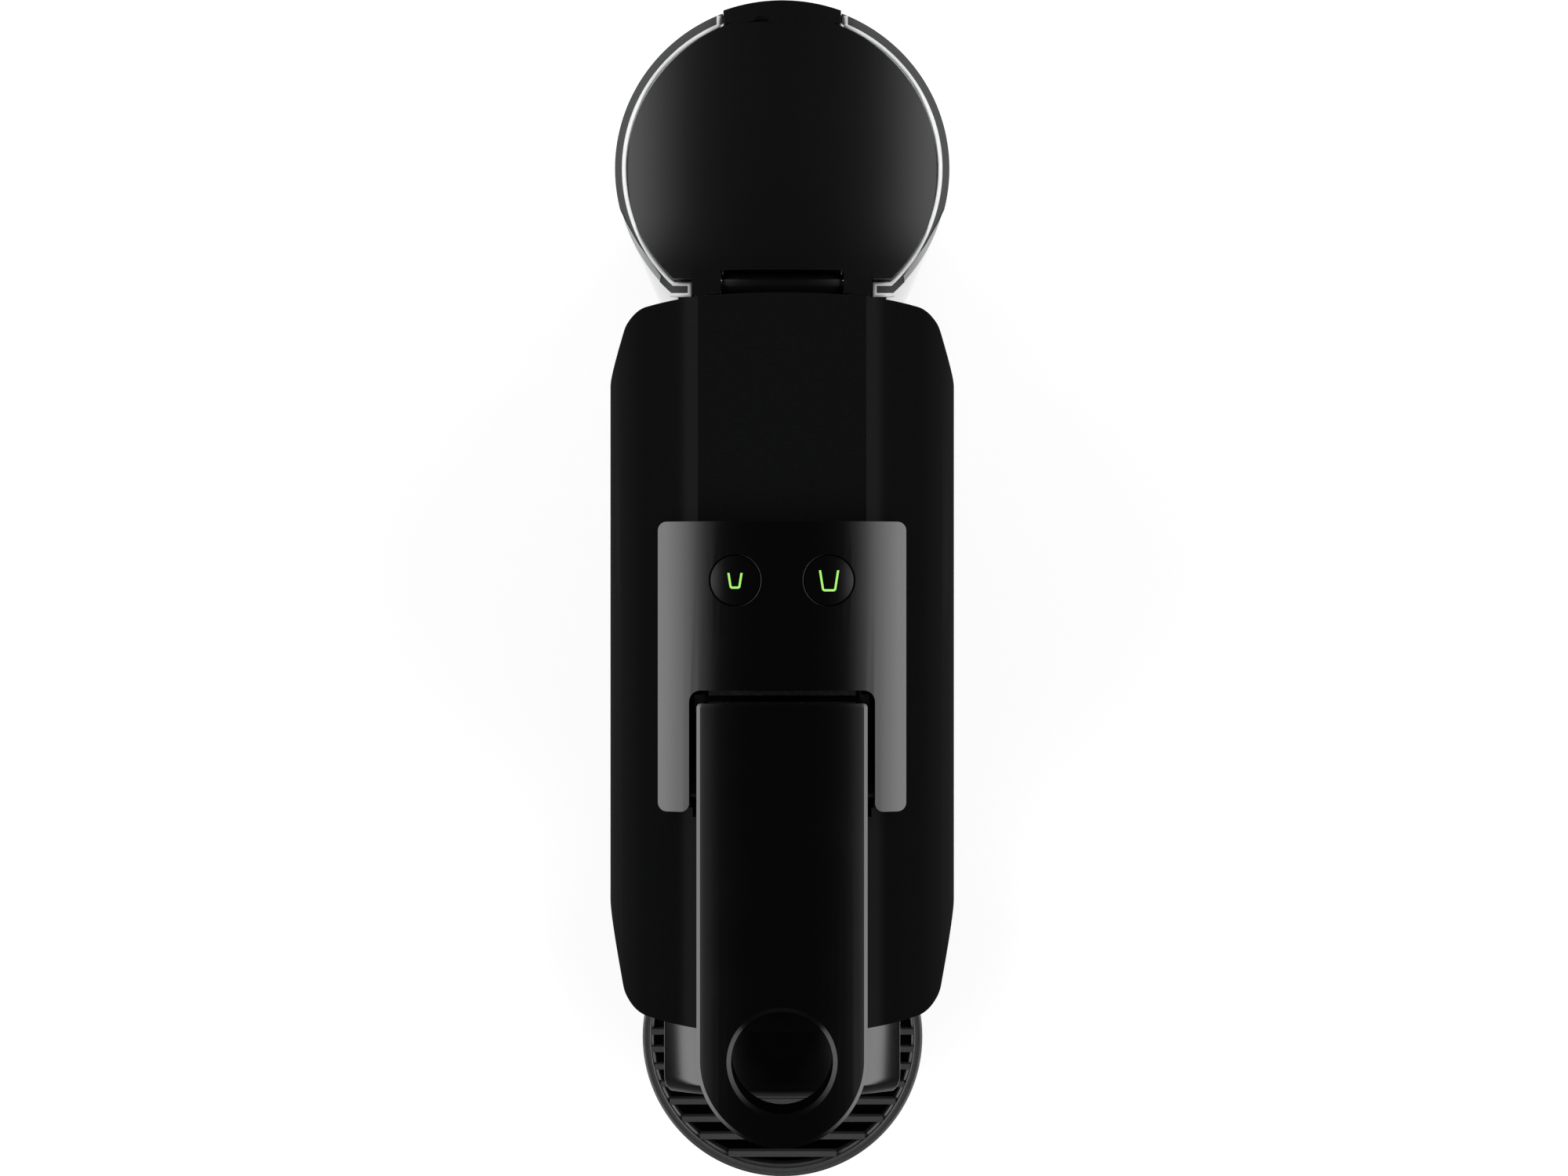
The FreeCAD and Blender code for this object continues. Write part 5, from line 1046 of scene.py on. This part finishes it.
def makeBead():
    # painted highlight: a bright white line inside the rim, hooked at the hinge and turned out at the tab
    bm = bmesh.new()
    radius, front, hook, hookFront = pick(tank, "beadRadius beadFront hookX hookFront")
    centreY, tab = pick(tank, "centreY beadTab")
    low = tank["rim"] - tank["beadDeep"]
    meet = sqrt(radius ** 2 - (front - centreY) ** 2)
    path = [bm.verts.new((x, y, low)) for x, y in (
        (tank["hookReach"], hookFront), (hook, hookFront), (hook, front), (meet, front))]
    for pair in zip(path, path[1:]):
        bm.edges.new(pair)
    sweep = atan2(sqrt(radius ** 2 - tab ** 2), tab) - atan2(front - centreY, meet)
    spinOn(bm, path[-1], (0, centreY, low), alongZ, sweep, tank["beadSteps"])
    ops.remove_doubles(bm, verts=bm.verts, dist=shop["merge"])
    drawRear(bm, tank["beadRear"])
    last = max(bm.verts, key=lambda vert: vert.co.y)
    turned = bm.verts.new(last.co + alongY * tank["beadTurn"])
    bm.edges.new((last, turned))
    drawOut(bm, bm.edges[:], alongZ * (tank["beadDeep"] + tank["beadProud"]))
    mirrored(bm, -1)
    ring = pieceFrom(bm, "tankBead", "tank", "clear_plastic", (), tank["sharpAngle"], paintedRimGlint)
    addWall(ring, tank["beadWide"], 0)


def makeKnuckle():
    bm = bmesh.new()
    half, front = tank["knuckleHalf"], tank["front"]
    hingeY, hingeZ = tank["hinge"]
    rod(bm, tank["knuckle"], (-half, hingeY, hingeZ), (half, hingeY, hingeZ), tank["knuckleSegments"])
    block(bm, (-half, front, tank["knuckleLow"]), (half, front + tank["wall"], hingeZ))
    block(bm, *tank["lip"])
    roundEdges(bm, corner, *tank["knuckleEdge"])
    pieceFrom(bm, "tankKnuckle", "tank", "satin_black", material=lidBlack)


dock = dict(
    bottom=5.5, top=19.8, wall=2.5, room=(4.0, 17.3), edge=(0.8, 3), middle=12.0, socket=7.8,
    socketZ=(10.4, 25.0), socketSteps=64, gland=5.55, glandY=(152.0, 170.0), glandZ=12.5,
    glandSegments=48,
    cup=((7.8, 19.7), (9.8, 19.7), (9.8, 8.6), (shop["pole"], 8.6), (shop["pole"], 10.6), (7.8, 10.6)),
)


def makeDock():
    bm = bmesh.new()
    wall, valveY = dock["wall"], tank["valveY"]
    drumSkin(bm, tank["radius"], tank["front"], dock["bottom"], dock["top"])
    flat = [face for face in bm.faces if abs(face.normal.z) > shop["level"]]
    ops.delete(bm, geom=flat, context="FACES_ONLY")
    capEnds(bm, dock["middle"])
    roundAbove(bm, dock["top"] - shop["wide"], *dock["edge"])
    room = drumBlock(tank["radius"] - wall, tank["front"] + wall, *dock["room"])
    socket = newPost(dock["socket"], (0, valveY), dock["socketZ"], dock["socketSteps"])
    gland = bmesh.new()
    rod(gland, dock["gland"], *[(0, y, dock["glandZ"]) for y in dock["glandY"]], dock["glandSegments"])
    bm = carve(bm, room, socket, gland)
    cupWall = bmesh.new()
    lathe(cupWall, dock["cup"], (0, valveY), dock["socketSteps"])
    joinTo(bm, cupWall)
    pieceFrom(bm, "dockDrum", "machine_body", "satin_black", ["tank_dock"])


coil = dict(radius=3.1, wire=0.35, turns=3, low=16.602, high=21.598, stroke=3.0, turnSteps=32, sides=12)


def makeSpring():
    bm = bmesh.new()
    radius, wire, turns, low, high, perTurn = pick(coil, "radius wire turns low high turnSteps")
    valveY = tank["valveY"]
    pitch = (high - low) / turns
    lean = Matrix.Rotation(atan2(pitch, 2 * pi * radius) - pi / 2, 4, "X")
    ops.create_circle(bm, segments=coil["sides"], radius=wire,
                      matrix=Matrix.Translation((radius, valveY, low)) @ lean)
    ops.spin(bm, geom=bm.verts[:] + bm.edges[:], cent=(0, valveY, 0), axis=alongZ,
             dvec=alongZ * (pitch / perTurn), angle=2 * pi * turns, steps=turns * perTurn)
    capEnds(bm, (low + high) / 2)
    piece = pieceFrom(bm, "valveCoil", "tank", "stainless", ["valve_spring"])
    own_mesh(piece)


lid = dict(
    radius=38.9, front=93.0, crest=161.5, curve=138.0, low=151.0, wall=2.2, rearShare=0.957,
    flatFrom=113.0, flatten=0.0011, slices=(-38.5, 38.5, 1.75), frontSlices=(97.0, 113.0, 2.0),
    gap=((-15.3, 80.0, 150.0), (15.3, 95.0, 170.0)), gapBand=(0.5, 0.2), frontHalf=33.0, gapLow=156.6,
    frontLow=155.4, edge=(0.8, 3), edgeAbove=155.0, tabHalf=14.6, tabLow=153.3, tabRadius=47.0,
    tabCentre=114.7, tabFront=156.2, tabEdge=157.0, tabSlices=(-14.0, 14.0, 1.75), armReach=5.0,
    armEdge=(0.6, 3), armAngle=60, armAbove=158.0, armBefore=91.0,
)


def lidArch(verts):
    # the crown flattens towards the hinge
    for vert in verts:
        ahead = max(lid["flatFrom"] - vert.co.y, 0)
        drop = lid["curve"] - sqrt(lid["curve"] ** 2 - vert.co.x ** 2)
        vert.co.z -= drop * (1 - lid["flatten"] * ahead ** 2)


def makeLidShell():
    bm = bmesh.new()
    roundPlate(bm, lid["radius"], tank["centreY"], lid["crest"])
    cutAcross(bm, alongY * lid["front"], alongY, clear=True)
    drawRear(bm, lid["rearShare"])
    openPort(bm, *lid["gap"])
    slices(bm, *lid["slices"])
    slices(bm, *lid["frontSlices"], alongY)
    skirt = vertsOf(drawOut(bm, openEdges(bm), alongZ * (lid["low"] - lid["crest"])))
    lidArch(above(bm, lid["crest"] - shop["wide"]))
    gapHalf, gapRear = lid["gap"][1][:2]
    across, along = lid["gapBand"]
    for vert in skirt:
        # the skirt is cut short over the hinge
        if vert.co.y < gapRear + along and abs(vert.co.x) < lid["frontHalf"]:
            vert.co.z = lid["gapLow"] if abs(vert.co.x) < gapHalf + across else lid["frontLow"]
    roundAbove(bm, lid["edgeAbove"], *lid["edge"], shop["cornerAngle"])
    piece = pieceFrom(bm, "lidShell", "lid", "satin_black", ["tank_lid"], material=lidBlack)
    addWall(piece, lid["wall"])
    evenNormals(piece)


def makeLidTab():
    # tab at the rear, and the arms and knuckles of the hinge
    bm = bmesh.new()
    roundPlate(bm, lid["tabRadius"], lid["tabCentre"], lid["tabLow"])
    cutAcross(bm, alongX * lid["tabHalf"], -alongX, clear=True)
    cutAcross(bm, alongX * -lid["tabHalf"], alongX, clear=True)
    cutAcross(bm, alongY * lid["tabFront"], alongY, clear=True)
    lift(bm, lid["crest"] - lid["tabLow"])
    slices(bm, *lid["tabSlices"])
    arch(above(bm, lid["crest"] - shop["wide"]), lid["curve"])

    def tabEdge(edge):
        return corner(edge, shop["cornerAngle"]) and middleOf(edge).y > lid["tabEdge"]

    roundEdges(bm, tabEdge, *lid["edge"])
    hingeY, hingeZ = tank["hinge"]
    knuckle = tank["knuckle"]
    for side in bothSides:
        near, far = side * lid["gap"][1][0], side * tank["hingeHalf"]
        rod(bm, knuckle, (near, hingeY, hingeZ), (far, hingeY, hingeZ), tank["knuckleSegments"])
        arm = block(bm, (min(near, far), hingeY - knuckle, hingeZ),
                    (max(near, far), hingeY + lid["armReach"], lid["crest"]))
        lidArch([vert for vert in arm if vert.co.z > hingeZ + shop["wide"]])

    def armEdge(edge):
        spot = middleOf(edge)
        return corner(edge, lid["armAngle"]) and spot.z > lid["armAbove"] and spot.y < lid["armBefore"]

    roundEdges(bm, armEdge, *lid["armEdge"])
    evenNormals(pieceFrom(bm, "lidTab", "lid", "satin_black", material=lidBlack))


makeTank()
makeRim()
makeBead()
makeKnuckle()
makeDock()
makeSpring()
makeLidShell()
makeLidTab()
print("tank, dock and lid made")
